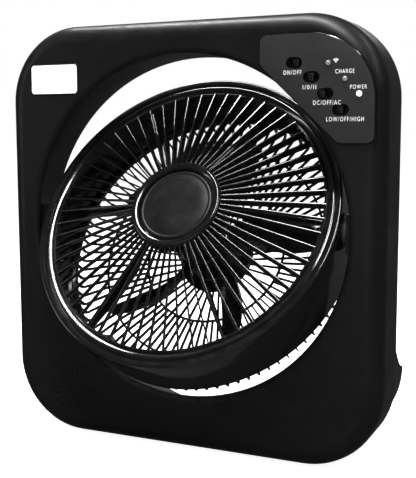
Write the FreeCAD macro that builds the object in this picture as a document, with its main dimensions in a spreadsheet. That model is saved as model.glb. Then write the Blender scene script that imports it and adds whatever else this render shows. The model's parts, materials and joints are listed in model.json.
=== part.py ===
import FreeCAD, Part
import os

import Sketcher

# A rechargeable twelve-inch box fan. A round head tilts on two side pivots inside a rounded-square
# casing whose lower corners reach back as feet. Millimetres, +Z up, the front faces -Y, and the
# origin is on the floor below the middle of the whole fan's box.
# The casing's pieces are drawn with depth counted back from its front face, and node() then moves
# them to the origin. The head's pieces are drawn about the tilt pivot, with their front at local -Y.

DOC = FreeCAD.newDocument("box_fan")
SIZES = {
    # casing
    "width": 417.0,
    "height": 440.0,
    "rubber_proud": 2.0,
    "corner_radius": 80.0,
    "front_round": 18.0,
    "body_depth": 60.0,
    "seam_depth": 46.0,
    "origin_depth": 39.85,
    "seam_gap": 0.3,
    "wall": 2.6,
    "foot_depth": 118.0,
    "foot_top": 121.0,
    "foot_back_top": 84.0,
    "foot_draft": 3.5,
    "foot_round": 10.0,
    "foot_step": 0.4,
    "foot_inner_half": 70.0,
    # air opening through the casing
    "rim_side": 33.7,
    "rim_top": 33.3,
    "rim_low": 57.1,
    "lip_round": 6.0,
    "back_flare": 15.7,
    "back_drop": 16.2,
    "foot_flare": 22.2,
    "foot_drop": 23.9,
    # tilting head
    "head_tilt": 33.3,
    "pivot_depth": 28.6,
    "pivot_drop": 0.4,
    "head_clearance": 9.6,
    "bezel_front": 27.9,
    "bezel_length": 13.0,
    "bezel_width": 15.2,
    "bezel_step": 1.2,
    "barrel_back": 43.2,
    "barrel_wall": 2.4,
    "barrel_taper": 1.0,
    "fit_gap": 0.3,
    "running_gap": 0.05,
    # front grille
    "grille_rim_width": 3.0,
    "grille_rim_front": 25.5,
    "grille_rim_depth": 9.0,
    "hub_ring_radius": 48.6,
    "hub_ring_width": 8.2,
    "hub_ring_front": 49.6,
    "hub_ring_depth": 13.0,
    "fin_count": 60.0,
    "fin_thickness": 1.7,
    "fin_depth": 6.5,
    "fin_lean": 15.0,
    "deep_rib_count": 6.0,
    "deep_rib_first": 30.0,
    "deep_rib_back": -13.0,
    "cap_radius": 40.1,
    "cap_front": 47.5,
    "cap_thickness": 3.0,
    # rear grille
    "rear_grille_back": 60.0,
    "rear_rim_width": 4.5,
    "rear_rib_count": 88.0,
    "rear_rib_thickness": 1.8,
    "rear_rib_depth": 3.6,
    "rear_step_width": 35.0,
    "rear_ring_width": 2.4,
    "rear_ring_depth": 3.0,
    "rear_ring_share": 0.55,
    "rear_disc_radius": 42.0,
    "rear_disc_thickness": 3.0,
    "rear_disc_back": 76.0,
    # motor and impeller
    "motor_radius": 29.0,
    "motor_front": 40.0,
    "motor_wall": 1.5,
    "shaft_radius": 3.0,
    "shaft_front": 13.0,
    "bearing_radius": 8.0,
    "bearing_length": 5.0,
    "blade_count": 5.0,
    "blade_phase": 1.9,
    "blade_middle": 44.8,
    "blade_camber": 0.4,
    "tip_clearance": 34.6,
    "blade_thickness": 2.0,
    "impeller_hub_radius": 33.0,
    "impeller_hub_front": 27.0,
    "impeller_hub_back": 61.0,
    "impeller_hub_wall": 2.2,
    "nut_radius": 9.0,
    "nut_length": 7.0,
    # side pivots
    "pin_radius": 7.0,
    "pin_bore": 3.5,
    "pin_flange_radius": 12.0,
    "pin_flange_length": 3.5,
    "pin_reach": 17.0,
    "washer_radius": 14.0,
    "pivot_space": 5.1,
    "bracket_length": 22.9,
    "bracket_front": 12.0,
    "bracket_back": 43.0,
    "bracket_half": 19.0,
    # control panel, upper right corner
    "panel_side": 9.2,
    "panel_drop": 20.2,
    "panel_width": 113.8,
    "panel_tall": 102.8,
    "panel_foot_width": 35.8,
    "panel_end_tall": 28.8,
    "panel_outer_round": 62.0,
    "panel_small_round": 8.0,
    "panel_proud": 2.5,
    "panel_plate": 2.5,
    "panel_skirt": 7.0,
    "switch_slot_length": 15.0,
    "switch_slot_width": 10.0,
    "knob_length": 5.2,
    "knob_width": 6.4,
    "knob_proud": 1.6,
    "knob_stem": 3.0,
    "switch_travel": 2.5,
    "switch_depth": 7.0,
    "board_depth": 12.0,
    "board_thickness": 1.6,
    "led_radius": 2.5,
    "switch_case_half": 9.5,
    "switch_case_side": 5.5,
    "board_post_radius": 2.5,
    # night light, upper left corner
    "light_side": 29.8,
    "light_drop": 39.0,
    "light_width": 60.2,
    "light_tall": 33.0,
    "light_round": 5.0,
    "light_proud": 0.6,
    "light_depth": 12.0,
    "lens_wall": 1.8,
    "lamp_radius": 2.0,
    "lamp_length": 2.6,
    "lamp_pitch": 12.0,
    # loudspeaker, lower left corner
    "speaker_side": 81.7,
    "speaker_lift": 49.6,
    "speaker_radius": 33.0,
    "speaker_hole_radius": 0.65,
    "speaker_first_ring": 1.7,
    "speaker_pitch": 3.4,
    "speaker_basket_depth": 16.0,
    "magnet_radius": 16.0,
    "magnet_length": 9.0,
    # battery, lower right foot
    "battery_thick": 40.0,
    "battery_wide": 70.0,
    "battery_long": 66.0,
    "battery_front": 14.0,
    "battery_off": 17.6,
    "strap_thickness": 1.6,
    "strap_width": 14.0,
    "strap_depth": 40.0,
    # supply and sockets
    "supply_half": 24.0,
    "supply_front": 48.0,
    "supply_back": 95.0,
    "supply_off": 59.0,
    "supply_post_radius": 3.0,
    "supply_post_length": 12.7,
    "transformer_half": 17.0,
    "transformer_front": 50.0,
    "transformer_length": 38.0,
    "transformer_tall": 28.0,
    "inlet_x": 146.0,
    "inlet_height": 42.0,
    "inlet_width": 24.0,
    "inlet_tall": 13.0,
    "inlet_length": 20.0,
    "inlet_wall": 3.0,
    "socket_depth": 12.0,
    "inlet_pin_radius": 1.2,
    "inlet_pin_off": 4.3,
    "pin_length": 10.0,
    "dc_radius": 5.0,
    "dc_bore": 2.8,
    "dc_pin_radius": 1.0,
    "dc_length": 14.5,
    "dc_x": 172.0,
    "dc_height": 66.0,
    # rubber feet and screws
    "rubber_radius": 8.0,
    "rubber_seat": 1.2,
    "rubber_rise": 7.2,
    "rubber_spread": 106.0,
    "rubber_front": 29.0,
    "rubber_back": 92.0,
    "boss_radius": 4.0,
    "boss_inset": 16.5,
    "screw_start": 20.0,
    "screw_sink": 3.5,
    "screw_radius": 1.5,
    "screw_head_radius": 3.0,
    "screw_head_length": 2.0,
    "side_screw_above": 66.0,
    "side_screw_below": 84.0,
    "end_screw_off": 60.0,
}
DERIVED = {
    "opening_radius": "min(width / 2 - rim_side; (height - rim_top - rim_low) / 2)",
    "opening_height": "rubber_proud + height - rim_top - opening_radius",
    "back_opening_radius": "opening_radius + back_flare",
    "back_opening_height": "opening_height - back_drop",
    "foot_opening_radius": "opening_radius + foot_flare",
    "foot_opening_height": "opening_height - foot_drop",
    "pivot_height": "opening_height - pivot_drop",
    "bezel_radius": "opening_radius - head_clearance",
    "bezel_inner": "bezel_radius - bezel_width",
    "barrel_radius": "bezel_radius - bezel_step",
    "grille_rim_radius": "bezel_inner - fit_gap",
    "rear_rim_radius": "barrel_radius - barrel_taper - barrel_wall - fit_gap",
    "rear_step_radius": "rear_rim_radius - rear_step_width",
    "rear_ring_radius": "rear_step_radius - (rear_step_radius - rear_disc_radius) * rear_ring_share",
    "rear_ring_back": "rear_grille_back + (rear_disc_back - rear_grille_back) * rear_ring_share",
    "blade_tip_radius": "barrel_radius - barrel_wall - tip_clearance",
    "bracket_face": "barrel_radius + pivot_space",
    "bracket_end": "bracket_face + bracket_length",
    "washer_end": "bracket_face - fit_gap",
    "pin_end": "bracket_face + pin_reach",
    "panel_right": "width / 2 - panel_side",
    "panel_top": "rubber_proud + height - panel_drop",
    "panel_left": "panel_right - panel_width",
    "panel_low": "panel_top - panel_tall",
    "panel_diagonal_low": "panel_right - panel_foot_width",
    "panel_diagonal_high": "panel_top - panel_end_tall",
    "light_left": "light_side - width / 2",
    "light_right": "light_left + light_width",
    "light_high": "rubber_proud + height - light_drop",
    "light_low": "light_high - light_tall",
    "speaker_x": "speaker_side - width / 2",
    "speaker_height": "rubber_proud + speaker_lift",
}
SHEET = DOC.addObject("Spreadsheet::Sheet", "sizes")
for row, (alias, value) in enumerate(SIZES.items(), start=1):
    SHEET.set(f"A{row}", alias)
    SHEET.set(f"B{row}", str(value))
    SHEET.setAlias(f"B{row}", alias)
DOC.recompute()

EXPORTS = []
DEPTHS = {}
PLACED = []


def bound(text):
    """An expression with derived sizes written out and driving sizes read from the sheet."""
    words = []
    word = ""
    for sign in text + " ":
        if sign.isalnum() or sign == "_":
            word += sign
            continue
        if word in DERIVED:
            word = f"({bound(DERIVED[word])})"
        words.append("sizes." + word if word in SIZES else word)
        words.append(sign)
        word = ""
    return "".join(words).strip()


def number(text):
    """The present value of an expression."""
    return float(SHEET.evalExpression(bound(text)))


def bind(item, name, text):
    """Bind one property of a document object to an expression of driving sizes."""
    item.setExpression(name, bound(text))


def move(item, x="0", y="0", z="0"):
    """Bind where an object stands."""
    bind(item, "Placement.Base.x", x)
    bind(item, "Placement.Base.y", y)
    bind(item, "Placement.Base.z", z)
    DEPTHS[item.Name] = y
    return item


def node(item, label):
    """Name a sub-part and bring it from the casing's front face to the fan's own origin."""
    item.Label = label
    if item.Name not in PLACED:
        bind(item, "Placement.Base.y", DEPTHS.get(item.Name, "0") + " - origin_depth")
    EXPORTS.append(item)
    return item


def on_head(item, spin="0"):
    """Stand an object, drawn about the pivot and then spun on the head's axis, on the tilted head."""
    spot = "vector(0; pivot_depth - origin_depth; pivot_height)"
    turn = f"rotation(vector(1; 0; 0); 0 - head_tilt) * rotation(vector(0; 1; 0); {spin})"
    bind(item, "Placement", f"placement({spot}; {turn})")
    PLACED.append(item.Name)
    return item


def box(name, x, y, z):
    """A block between pairs of expressions along each axis."""
    item = DOC.addObject("Part::Box", name)
    for side, (low, high) in zip(("Length", "Width", "Height"), (x, y, z)):
        bind(item, side, f"({high}) - ({low})")
    return move(item, x[0], y[0], z[0])


AXIS_TURNS = {
    "x": FreeCAD.Rotation(FreeCAD.Vector(0, 1, 0), 90),
    "y": FreeCAD.Rotation(FreeCAD.Vector(1, 0, 0), -90),
    "z": FreeCAD.Rotation(),
}


def rod(name, radius, length, axis, x="0", y="0", z="0"):
    """A round bar that starts at a point and runs along one positive axis."""
    item = DOC.addObject("Part::Cylinder", name)
    bind(item, "Radius", radius)
    bind(item, "Height", length)
    item.Placement = FreeCAD.Placement(FreeCAD.Vector(), AXIS_TURNS[axis])
    return move(item, x, y, z)


def cut(name, base, tool):
    """One shape less another."""
    item = DOC.addObject("Part::Cut", name)
    item.Base = base
    item.Tool = tool
    return item


def fuse(name, *shapes):
    """Several shapes joined into one."""
    item = DOC.addObject("Part::MultiFuse", name)
    item.Shapes = list(shapes)
    return item


def common(name, *shapes):
    """What several shapes share."""
    item = DOC.addObject("Part::MultiCommon", name)
    item.Shapes = list(shapes)
    return item


def group(name, *shapes):
    """Separate solids kept together as one sub-part."""
    item = DOC.addObject("Part::Compound", name)
    item.Links = list(shapes)
    return item


def tube(name, outer, inner, length, axis, x="0", y="0", z="0"):
    """A round tube."""
    skin = rod(name + "_skin", outer, length, axis, x, y, z)
    hollow = rod(name + "_hollow", inner, length, axis, x, y, z)
    return cut(name, skin, hollow)


def origin_plane(body, role):
    """One of a body's own origin planes."""
    return next(plane for plane in body.Origin.OriginFeatures if plane.Role == role)


def outline(body, name, role, points, depth="0"):
    """A closed polygon sketch whose corners are bound to pairs of expressions."""
    sketch = body.newObject("Sketcher::SketchObject", name)
    sketch.AttachmentSupport = [(origin_plane(body, role), "")]
    sketch.MapMode = "FlatFace"
    bind(sketch, "AttachmentOffset.Base.z", depth)
    count = len(points)
    guess = [FreeCAD.Vector(number(across), number(up), 0) for across, up in points]
    for index in range(count):
        sketch.addGeometry(Part.LineSegment(guess[index], guess[(index + 1) % count]))
    for index in range(count):
        sketch.addConstraint(Sketcher.Constraint("Coincident", index, 2, (index + 1) % count, 1))
    for index, (across, up) in enumerate(points):
        spans = (("DistanceX", across, guess[index].x), ("DistanceY", up, guess[index].y))
        for kind, text, value in spans:
            place = sketch.addConstraint(Sketcher.Constraint(kind, -1, 1, index, 1, value))
            bind(sketch, f"Constraints[{place}]", text)
    return sketch


def padded(name, role, points, length, depth="0", reverse=False):
    """A body padded from a polygon sketch."""
    body = DOC.addObject("PartDesign::Body", name)
    sketch = outline(body, name + "_sketch", role, points, depth)
    pad = body.newObject("PartDesign::Pad", name + "_pad")
    pad.Profile = sketch
    bind(pad, "Length", length)
    pad.Reversed = reverse
    return body


def turned(name, points):
    """A body turned about local Y from a polygon of (radius, y) corners."""
    body = DOC.addObject("PartDesign::Body", name)
    sketch = outline(body, name + "_sketch", "XY_Plane", points)
    turn = body.newObject("PartDesign::Revolution", name + "_turn")
    turn.Profile = sketch
    turn.ReferenceAxis = (sketch, ["V_Axis"])
    turn.Angle = 360
    return body


def rounded(body, radius, picks):
    """Round the edges of a body's tip that a test picks."""
    DOC.recompute()
    tip = body.Tip
    names = [f"Edge{i}" for i, edge in enumerate(tip.Shape.Edges, start=1) if picks(edge)]
    fillet = body.newObject("PartDesign::Fillet", f"{body.Name}_round{len(body.Group)}")
    fillet.Base = (tip, names)
    bind(fillet, "Radius", radius)
    body.Tip = fillet
    return body


def along_y(edge):
    """True for a straight edge that runs front to back."""
    step = edge.Vertexes[-1].Point - edge.Vertexes[0].Point
    return abs(step.y) > 0.1 and abs(step.x) + abs(step.z) < 0.3 * abs(step.y)


def at_depth(depth):
    """A test for edges that lie in one plane across the depth."""
    def picks(edge):
        return edge.BoundBox.YLength < 0.01 and abs(edge.BoundBox.YMin - depth) < 0.01
    return picks


def casing_block(name, inset, front, back, front_round=None):
    """The casing's rounded square between two depths, drawn in from its outer skin by an inset."""
    side = f"width / 2 - {inset}"
    low = f"rubber_proud + {inset}"
    high = f"rubber_proud + height - {inset}"
    corners = [(f"0 - ({side})", low), (side, low), (side, high), (f"0 - ({side})", high)]
    body = padded(name, "XZ_Plane", corners, f"({back}) - ({front})", f"0 - ({front})", reverse=True)
    rounded(body, f"corner_radius - {inset}", along_y)
    if front_round:
        rounded(body, front_round, at_depth(number(front)))
    return body


SLOPE_STEPS = 6


def foot_block(name, inset):
    """The part of the casing that reaches back, drafted, with a sloping top and a rounded back."""
    side = f"width / 2 - {inset}"
    low = f"rubber_proud + {inset}"
    high = "rubber_proud + height / 2"
    start = f"seam_depth + seam_gap + {inset}"
    corners = [(f"0 - ({side})", low), (side, low), (side, high), (f"0 - ({side})", high)]
    body = padded(name, "XZ_Plane", corners, f"foot_depth - {inset} - ({start})", f"0 - ({start})",
                  reverse=True)
    body.Tip.TaperAngle = 0
    bind(body.Tip, "TaperAngle", "0 - foot_draft")
    rounded(body, f"corner_radius - {inset}", lowest_rails)
    rounded(body, f"foot_round - {inset}", at_depth(number(f"foot_depth - {inset}")))
    lift = f"rubber_proud - {inset}"
    back = f"foot_depth - {inset}"
    slope = [
        ("0 - 1", "0 - 1"),
        (back + " + 1", "0 - 1"),
        (back + " + 1", f"foot_back_top + {lift}"),
    ]
    for step in range(SLOPE_STEPS, -1, -1):
        share = step / SLOPE_STEPS
        slope.append((f"body_depth - {inset} + (foot_depth - body_depth) * {share}",
                      f"foot_back_top + (foot_top - foot_back_top) * {(1 - share) ** 2} + {lift}"))
    slope.append(("0 - 1", f"foot_top + {lift}"))
    across = padded(name + "_slope", "YZ_Plane", slope, "width", "0 - width / 2")
    return common(name + "_shape", body, across)


def lowest_rails(edge):
    """True for the two lower edges that run front to back."""
    return along_y(edge) and edge.BoundBox.ZMax < number("height / 4")


def ring_at(name, radius, depth, height):
    """A circle across the depth, for a loft."""
    circle = DOC.addObject("Part::Circle", name)
    bind(circle, "Radius", radius)
    circle.Placement = FreeCAD.Placement(FreeCAD.Vector(), AXIS_TURNS["y"])
    return move(circle, "0", depth, height)


def duct(name, extra):
    """The air passage, grown outwards by an amount: a throat, a flare behind it and one for the feet."""
    wider = "(back_opening_radius - opening_radius) / (body_depth - lip_round)"
    lower = "(opening_height - back_opening_height) / (body_depth - lip_round)"
    front = ring_at(name + "_front", f"opening_radius + {extra} - {wider} * (lip_round + 2)",
                    "0 - 2", f"opening_height + {lower} * (lip_round + 2)")
    back = ring_at(name + "_back", f"back_opening_radius + {extra}", "body_depth", "back_opening_height")
    end = ring_at(name + "_end", f"foot_opening_radius + {extra}", "foot_depth + 1",
                  "foot_opening_height")
    spans = []
    for place, pair in enumerate(((front, back), (back, end)), start=1):
        loft = DOC.addObject("Part::Loft", f"{name}_span{place}")
        loft.Sections = list(pair)
        loft.Solid = True
        loft.Ruled = True
        spans.append(loft)
    return fuse(name, *spans)


def lip(name):
    """The rounded mouth of the air passage."""
    body = turned(name, [
        ("0", "0 - 1"),
        ("opening_radius + lip_round", "0 - 1"),
        ("opening_radius + lip_round", "0"),
        ("opening_radius + lip_round * 0.62", "lip_round * 0.07"),
        ("opening_radius + lip_round * 0.29", "lip_round * 0.29"),
        ("opening_radius + lip_round * 0.07", "lip_round * 0.62"),
        ("opening_radius", "lip_round"),
        ("0", "lip_round"),
    ])
    return move(body, "0", "0", "opening_height")


def panel_outline(name, grow, front, back):
    """The control panel's five-sided outline with rounded corners, grown by an amount."""
    left = f"panel_left - {grow}"
    right = f"panel_right + {grow}"
    top = f"panel_top + {grow}"
    low = f"panel_low - {grow}"
    corners = [
        (left, f"panel_diagonal_high - {grow} * 0.4"),
        (f"panel_diagonal_low - {grow} * 0.4", low),
        (right, low),
        (right, top),
        (left, top),
    ]
    body = padded(name, "XZ_Plane", corners, f"({back}) - ({front})", f"0 - ({front})", reverse=True)
    rounded(body, "panel_outer_round", near_corner(*corners[3]))
    for place in (0, 1, 2, 4):
        rounded(body, "panel_small_round", near_corner(*corners[place]))
    return body


def near_corner(across, up):
    """A test for the front-to-back edge at one corner of the panel."""
    def picks(edge):
        middle = edge.BoundBox.Center
        apart = abs(middle.x - number(across)) + abs(middle.z - number(up))
        return along_y(edge) and apart < 5
    return picks


# Casing ---------------------------------------------------------------------------------------

def bracket_window(name, sign):
    """The opening that one pivot bracket needs in the duct wall."""
    low, high = ("bracket_face - 6", "bracket_end + 1")
    across = (low, high) if sign > 0 else (f"0 - ({high})", f"0 - ({low})")
    return box(name, across, ("bracket_front - fit_gap", "bracket_back + fit_gap"),
               ("pivot_height - bracket_half - fit_gap", "pivot_height + bracket_half + fit_gap"))


def light_block(name, grow, front, back):
    """The night light's rounded rectangle between two depths."""
    corners = [
        (f"light_left - {grow}", f"light_low - {grow}"),
        (f"light_right + {grow}", f"light_low - {grow}"),
        (f"light_right + {grow}", f"light_high + {grow}"),
        (f"light_left - {grow}", f"light_high + {grow}"),
    ]
    body = padded(name, "XZ_Plane", corners, f"({back}) - ({front})", f"0 - ({front})", reverse=True)
    return rounded(body, f"light_round + {grow}", along_y)


RUBBER_SPOTS = [
    ("rubber_spread", "rubber_back"),
    ("0 - rubber_spread", "rubber_back"),
    ("rubber_spread", "rubber_front"),
    ("0 - rubber_spread", "rubber_front"),
]
SCREW_SPOTS = [
    ("width / 2 - boss_inset", "opening_height + side_screw_above"),
    ("boss_inset - width / 2", "opening_height + side_screw_above"),
    ("width / 2 - boss_inset - 4", "opening_height - side_screw_below"),
    ("boss_inset + 4 - width / 2", "opening_height - side_screw_below"),
    ("end_screw_off", "rubber_proud + height - boss_inset - 3"),
    ("0 - end_screw_off", "rubber_proud + height - boss_inset - 3"),
    ("end_screw_off", "rubber_proud + boss_inset"),
    ("0 - end_screw_off", "rubber_proud + boss_inset"),
]


def shell_screws():
    """Eight screws that hold the rear casing to the front."""
    screws = []
    for place, (across, up) in enumerate(SCREW_SPOTS):
        head = "body_depth - screw_sink"
        shank = rod(f"screw_shank{place}", "screw_radius", f"{head} - screw_start - 1", "y", across,
                    "screw_start + 1", up)
        cap = rod(f"screw_head{place}", "screw_head_radius", "screw_head_length", "y", across, head, up)
        screws.append(fuse(f"screw{place}", shank, cap))
    node(group("shell_screws", *screws), "shell_screws")


def front_shell():
    """The front casing: pillowed face, side walls and the front of the air duct, hollow behind."""
    skin = casing_block("front_skin", "0", "0", "seam_depth", "front_round")
    core = casing_block("front_core", "wall", "wall", "seam_depth + 1", "front_round - wall")
    hollow = cut("front_hollow", core, duct("front_duct_wall", "wall"))
    hollowed = cut("front_hollowed", skin, hollow)
    openings = fuse(
        "front_openings",
        duct("front_duct", "0"),
        lip("front_lip"),
        panel_outline("panel_opening", "fit_gap", "0 - 1", "panel_skirt + 1"),
        light_block("light_opening", "fit_gap", "0 - 1", "light_depth"),
        bracket_window("right_window", 1),
        bracket_window("left_window", -1),
    )
    for place, (across, depth) in enumerate(RUBBER_SPOTS):
        if depth == "rubber_front":
            seat = rod(f"front_seat{place}", "rubber_radius + fit_gap", "rubber_proud + rubber_seat + 1", "z",
                       across, depth, "0 - 1")
            openings.Shapes = openings.Shapes + [seat]
    bosses = []
    for place, (across, up) in enumerate(SCREW_SPOTS):
        bosses.append(rod(f"front_boss{place}", "boss_radius", "seam_depth - wall", "y", across, "wall", up))
        openings.Shapes = openings.Shapes + [
            rod(f"pilot{place}", "screw_radius + running_gap", "seam_depth", "y", across, "screw_start", up),
        ]
    opened = cut("front_opened", fuse("front_bossed", hollowed, *bosses), openings)
    node(cut("front_shell", opened, speaker_holes()), "front_shell")


# How many holes each ring over the loudspeaker has, from the middle out.
SPEAKER_RINGS = [3, 9, 16, 24, 24, 24, 24, 24, 24]


def speaker_holes():
    """The rings of small sound holes through the face."""
    holes = []
    for ring, count in enumerate(SPEAKER_RINGS):
        radius = f"(speaker_first_ring + {ring} * speaker_pitch)"
        for ray in range(count):
            angle = f"({ray} * 360 / {count})"
            holes.append(rod(f"hole{ring}_{ray}", "speaker_hole_radius", "wall + 2", "y",
                             f"speaker_x + {radius} * cos({angle})", "0 - 1",
                             f"speaker_height + {radius} * sin({angle})"))
    return group("speaker_holes", *holes)


def rear_shell():
    """The rear casing: back face, back of the duct, and the two feet that reach back."""
    start = "seam_depth + seam_gap"
    skin = fuse("rear_skin", casing_block("rear_block", "0", start, "body_depth"),
                foot_block("foot_skin", "foot_step"))
    side_gap = box("foot_middle", ("0 - foot_inner_half", "foot_inner_half"),
                   ("body_depth - wall", "foot_depth"), ("0", "foot_top"))
    foot_core = cut("foot_core_pair", foot_block("foot_core", "(wall + foot_step)"), side_gap)
    core = fuse("rear_core", casing_block("rear_core_block", "wall", "seam_depth - 1",
                                          "body_depth - wall"), foot_core)
    hollow = cut("rear_hollow", core, duct("rear_duct_wall", "wall"))
    hollowed = cut("rear_hollowed", skin, hollow)
    openings = fuse(
        "rear_openings",
        duct("rear_duct", "0"),
        inlet_block("inlet_opening", "fit_gap", "foot_depth - inlet_length", "foot_depth + 5"),
        rod("dc_opening", "dc_radius + fit_gap", "20", "y", "0 - dc_x", "foot_depth - 15", "dc_height"),
    )
    for place, (across, depth) in enumerate(RUBBER_SPOTS):
        if depth == "rubber_back":
            seat = rod(f"rear_seat{place}", "rubber_radius + fit_gap", "rubber_rise + rubber_seat + 1", "z",
                       across, depth, "0 - 1")
            openings.Shapes = openings.Shapes + [seat]
    bosses = []
    for place, (across, up) in enumerate(SCREW_SPOTS):
        bosses.append(rod(f"rear_boss{place}", "boss_radius", f"body_depth - 1 - ({start})", "y", across,
                          start, up))
        openings.Shapes = openings.Shapes + [
            rod(f"screw_way{place}", "screw_radius + fit_gap", "body_depth", "y", across, "0", up),
            rod(f"screw_sink{place}", "screw_head_radius + fit_gap", "screw_sink + 1", "y", across,
                "body_depth - screw_sink", up),
        ]
    node(cut("rear_shell", fuse("rear_bossed", hollowed, *bosses), openings), "rear_shell")


def inlet_block(name, grow, front, back):
    """The mains inlet's block on the back of the left foot, between two depths."""
    return box(name, (f"0 - inlet_x - inlet_width / 2 - {grow}", f"0 - inlet_x + inlet_width / 2 + {grow}"),
               (front, back),
               (f"inlet_height - inlet_tall / 2 - {grow}", f"inlet_height + inlet_tall / 2 + {grow}"))


def rubber_feet():
    """Four rubber feet: short ones under the face, taller ones under the feet that reach back."""
    feet = []
    for place, (across, depth) in enumerate(RUBBER_SPOTS):
        rise = "rubber_rise" if depth == "rubber_back" else "rubber_proud"
        feet.append(rod(f"rubber_foot{place}", "rubber_radius", f"{rise} + rubber_seat - fit_gap", "z",
                        across, depth, "0"))
    node(group("rubber_feet", *feet), "rubber_feet")


def in_corner(item, sign):
    """Stand a piece, drawn upright about a lower corner's centre, so that its top points outwards."""
    spot = f"vector({sign} * (width / 2 - corner_radius); 0 - origin_depth; rubber_proud + corner_radius)"
    lean = f"180 - {sign} * 45"
    bind(item, "Placement", f"placement({spot}; rotation(vector(0; 1; 0); {lean}))")
    PLACED.append(item.Name)
    return item


def battery():
    """The sealed battery in the right foot, its terminals, and the strap that legs hold off the face."""
    end = "battery_front + battery_long"
    block = box("battery_block", ("0 - battery_wide / 2", "battery_wide / 2"), ("battery_front", end),
                ("battery_off", "battery_off + battery_thick"))
    node(in_corner(group("battery", block), 1), "battery")
    reach = "(battery_wide / 2 + fit_gap)"
    under = "battery_off - fit_gap"
    over = "battery_off + battery_thick + fit_gap"
    outer = box("strap_outer", (f"0 - {reach} - strap_thickness", f"{reach} + strap_thickness"),
                ("strap_depth", "strap_depth + strap_width"),
                (f"{under} - strap_thickness", f"{over} + strap_thickness"))
    inner = box("strap_inner", (f"0 - {reach}", reach),
                ("strap_depth - 1", "strap_depth + strap_width + 1"), (under, over))
    legs = []
    for side in (-1, 1):
        start = f"{side} * ({reach} + strap_thickness / 2) - strap_thickness / 2"
        legs.append(box(f"strap_leg{side + 1}", (start, f"{start} + strap_thickness"),
                        ("wall + fit_gap", "strap_depth + 1"),
                        ("battery_off + battery_thick * 0.25", "battery_off + battery_thick * 0.75")))
    strap = fuse("battery_strap", cut("strap_loop", outer, inner), *legs)
    node(in_corner(strap, 1), "battery_strap")
    tabs = []
    for side in (-1, 1):
        middle = f"{side} * battery_wide * 0.35"
        tabs.append(box(f"battery_tab{side + 1}", (f"{middle} - 3", f"{middle} + 3"), (end, f"{end} + 6"),
                        ("battery_off + 12", "battery_off + 12.8")))
    node(in_corner(group("battery_terminals", *tabs), 1), "battery_terminals")


def supply():
    """The charger board, transformer, mains inlet and low-voltage jack in the left foot."""
    board = box("supply_board", ("0 - supply_half", "supply_half"), ("supply_front", "supply_back"),
                ("supply_off", "supply_off + board_thickness"))
    node(in_corner(group("charger_board", board), -1), "charger_board")
    core = box("transformer_core", ("0 - transformer_half", "transformer_half"),
               ("transformer_front", "transformer_front + transformer_length"),
               ("supply_off - transformer_tall", "supply_off"))
    node(in_corner(group("transformer", core), -1), "transformer")
    posts = []
    for side in (-1, 1):
        posts.append(rod(f"supply_post{side + 1}", "supply_post_radius", "supply_post_length", "z",
                         f"{side} * supply_half * 0.7", "supply_front + 10",
                         "supply_off + board_thickness"))
    node(in_corner(group("supply_posts", *posts), -1), "supply_posts")
    body = inlet_block("inlet_body", "0", "foot_depth - inlet_length", "foot_depth")
    mouth = inlet_block("inlet_mouth", "(0 - inlet_wall)", "foot_depth - socket_depth", "foot_depth + 1")
    node(cut("mains_inlet", body, mouth), "mains_inlet")
    pins = []
    for side in (-1, 1):
        pins.append(rod(f"inlet_pin{side + 1}", "inlet_pin_radius", "pin_length", "y",
                        f"{side} * inlet_pin_off - inlet_x", "foot_depth - socket_depth", "inlet_height"))
    node(group("inlet_pins", *pins), "inlet_pins")
    jack = rod("dc_jack_body", "dc_radius", "dc_length - 0.5", "y", "0 - dc_x", "foot_depth - dc_length",
               "dc_height")
    socket = rod("dc_jack_socket", "dc_bore", "socket_depth", "y", "0 - dc_x",
                 "foot_depth - dc_length + 3", "dc_height")
    node(cut("dc_jack", jack, socket), "dc_jack")
    node(rod("dc_jack_pin", "dc_pin_radius", "pin_length - 1", "y", "0 - dc_x",
             "foot_depth - dc_length + 3", "dc_height"), "dc_jack_pin")


# Control panel --------------------------------------------------------------------------------

SWITCHES = [
    # name, from the panel's right edge, from its top edge, place of the knob in its travel
    ("power_switch_knob", "panel_right - 78.3", "panel_top - 27.3", "1"),
    ("mode_switch_knob", "panel_right - 61.3", "panel_top - 40.7", "0"),
    ("source_switch_knob", "panel_right - 47.7", "panel_top - 56.2", "0 - 1"),
    ("speed_switch_knob", "panel_right - 32.8", "panel_top - 71.2", "0"),
]
LIGHTS = [
    ("wireless_led", "panel_right - 45", "panel_top - 28.2"),
    ("charge_led", "panel_right - 28.9", "panel_top - 43"),
    ("power_led", "panel_right - 15.5", "panel_top - 56.8"),
]


def slot(name, across, up, length, width, front, back):
    """A block with round ends that lies across the panel."""
    reach = f"(({length}) - ({width})) / 2"
    parts = [box(name + "_middle", (f"{across} - {reach}", f"{across} + {reach}"), (front, back),
                 (f"{up} - ({width}) / 2", f"{up} + ({width}) / 2"))]
    for side in (-1, 1):
        parts.append(rod(f"{name}_end{side + 1}", f"({width}) / 2", f"({back}) - ({front})", "y",
                         f"{across} + {side} * {reach}", front, up))
    return fuse(name, *parts)


def control_panel():
    """The raised panel plate with four oval slots and three lamp holes."""
    plate = panel_outline("panel_plate_block", "0", "0 - panel_proud", "panel_skirt")
    hollow = panel_outline("panel_hollow", "(0 - wall)", "panel_plate - panel_proud", "panel_skirt + 1")
    tray = cut("panel_tray", plate, hollow)
    holes = []
    for label, across, up, _ in SWITCHES:
        holes.append(slot(label + "_slot", across, up, "switch_slot_length", "switch_slot_width",
                          "0 - panel_proud - 1", "panel_plate"))
    for label, across, up in LIGHTS:
        holes.append(rod(label + "_hole", "led_radius + fit_gap", "panel_plate + 2", "y", across,
                         "0 - panel_proud - 1", up))
    node(cut("control_panel", tray, fuse("panel_holes", *holes)), "control_panel")


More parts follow.
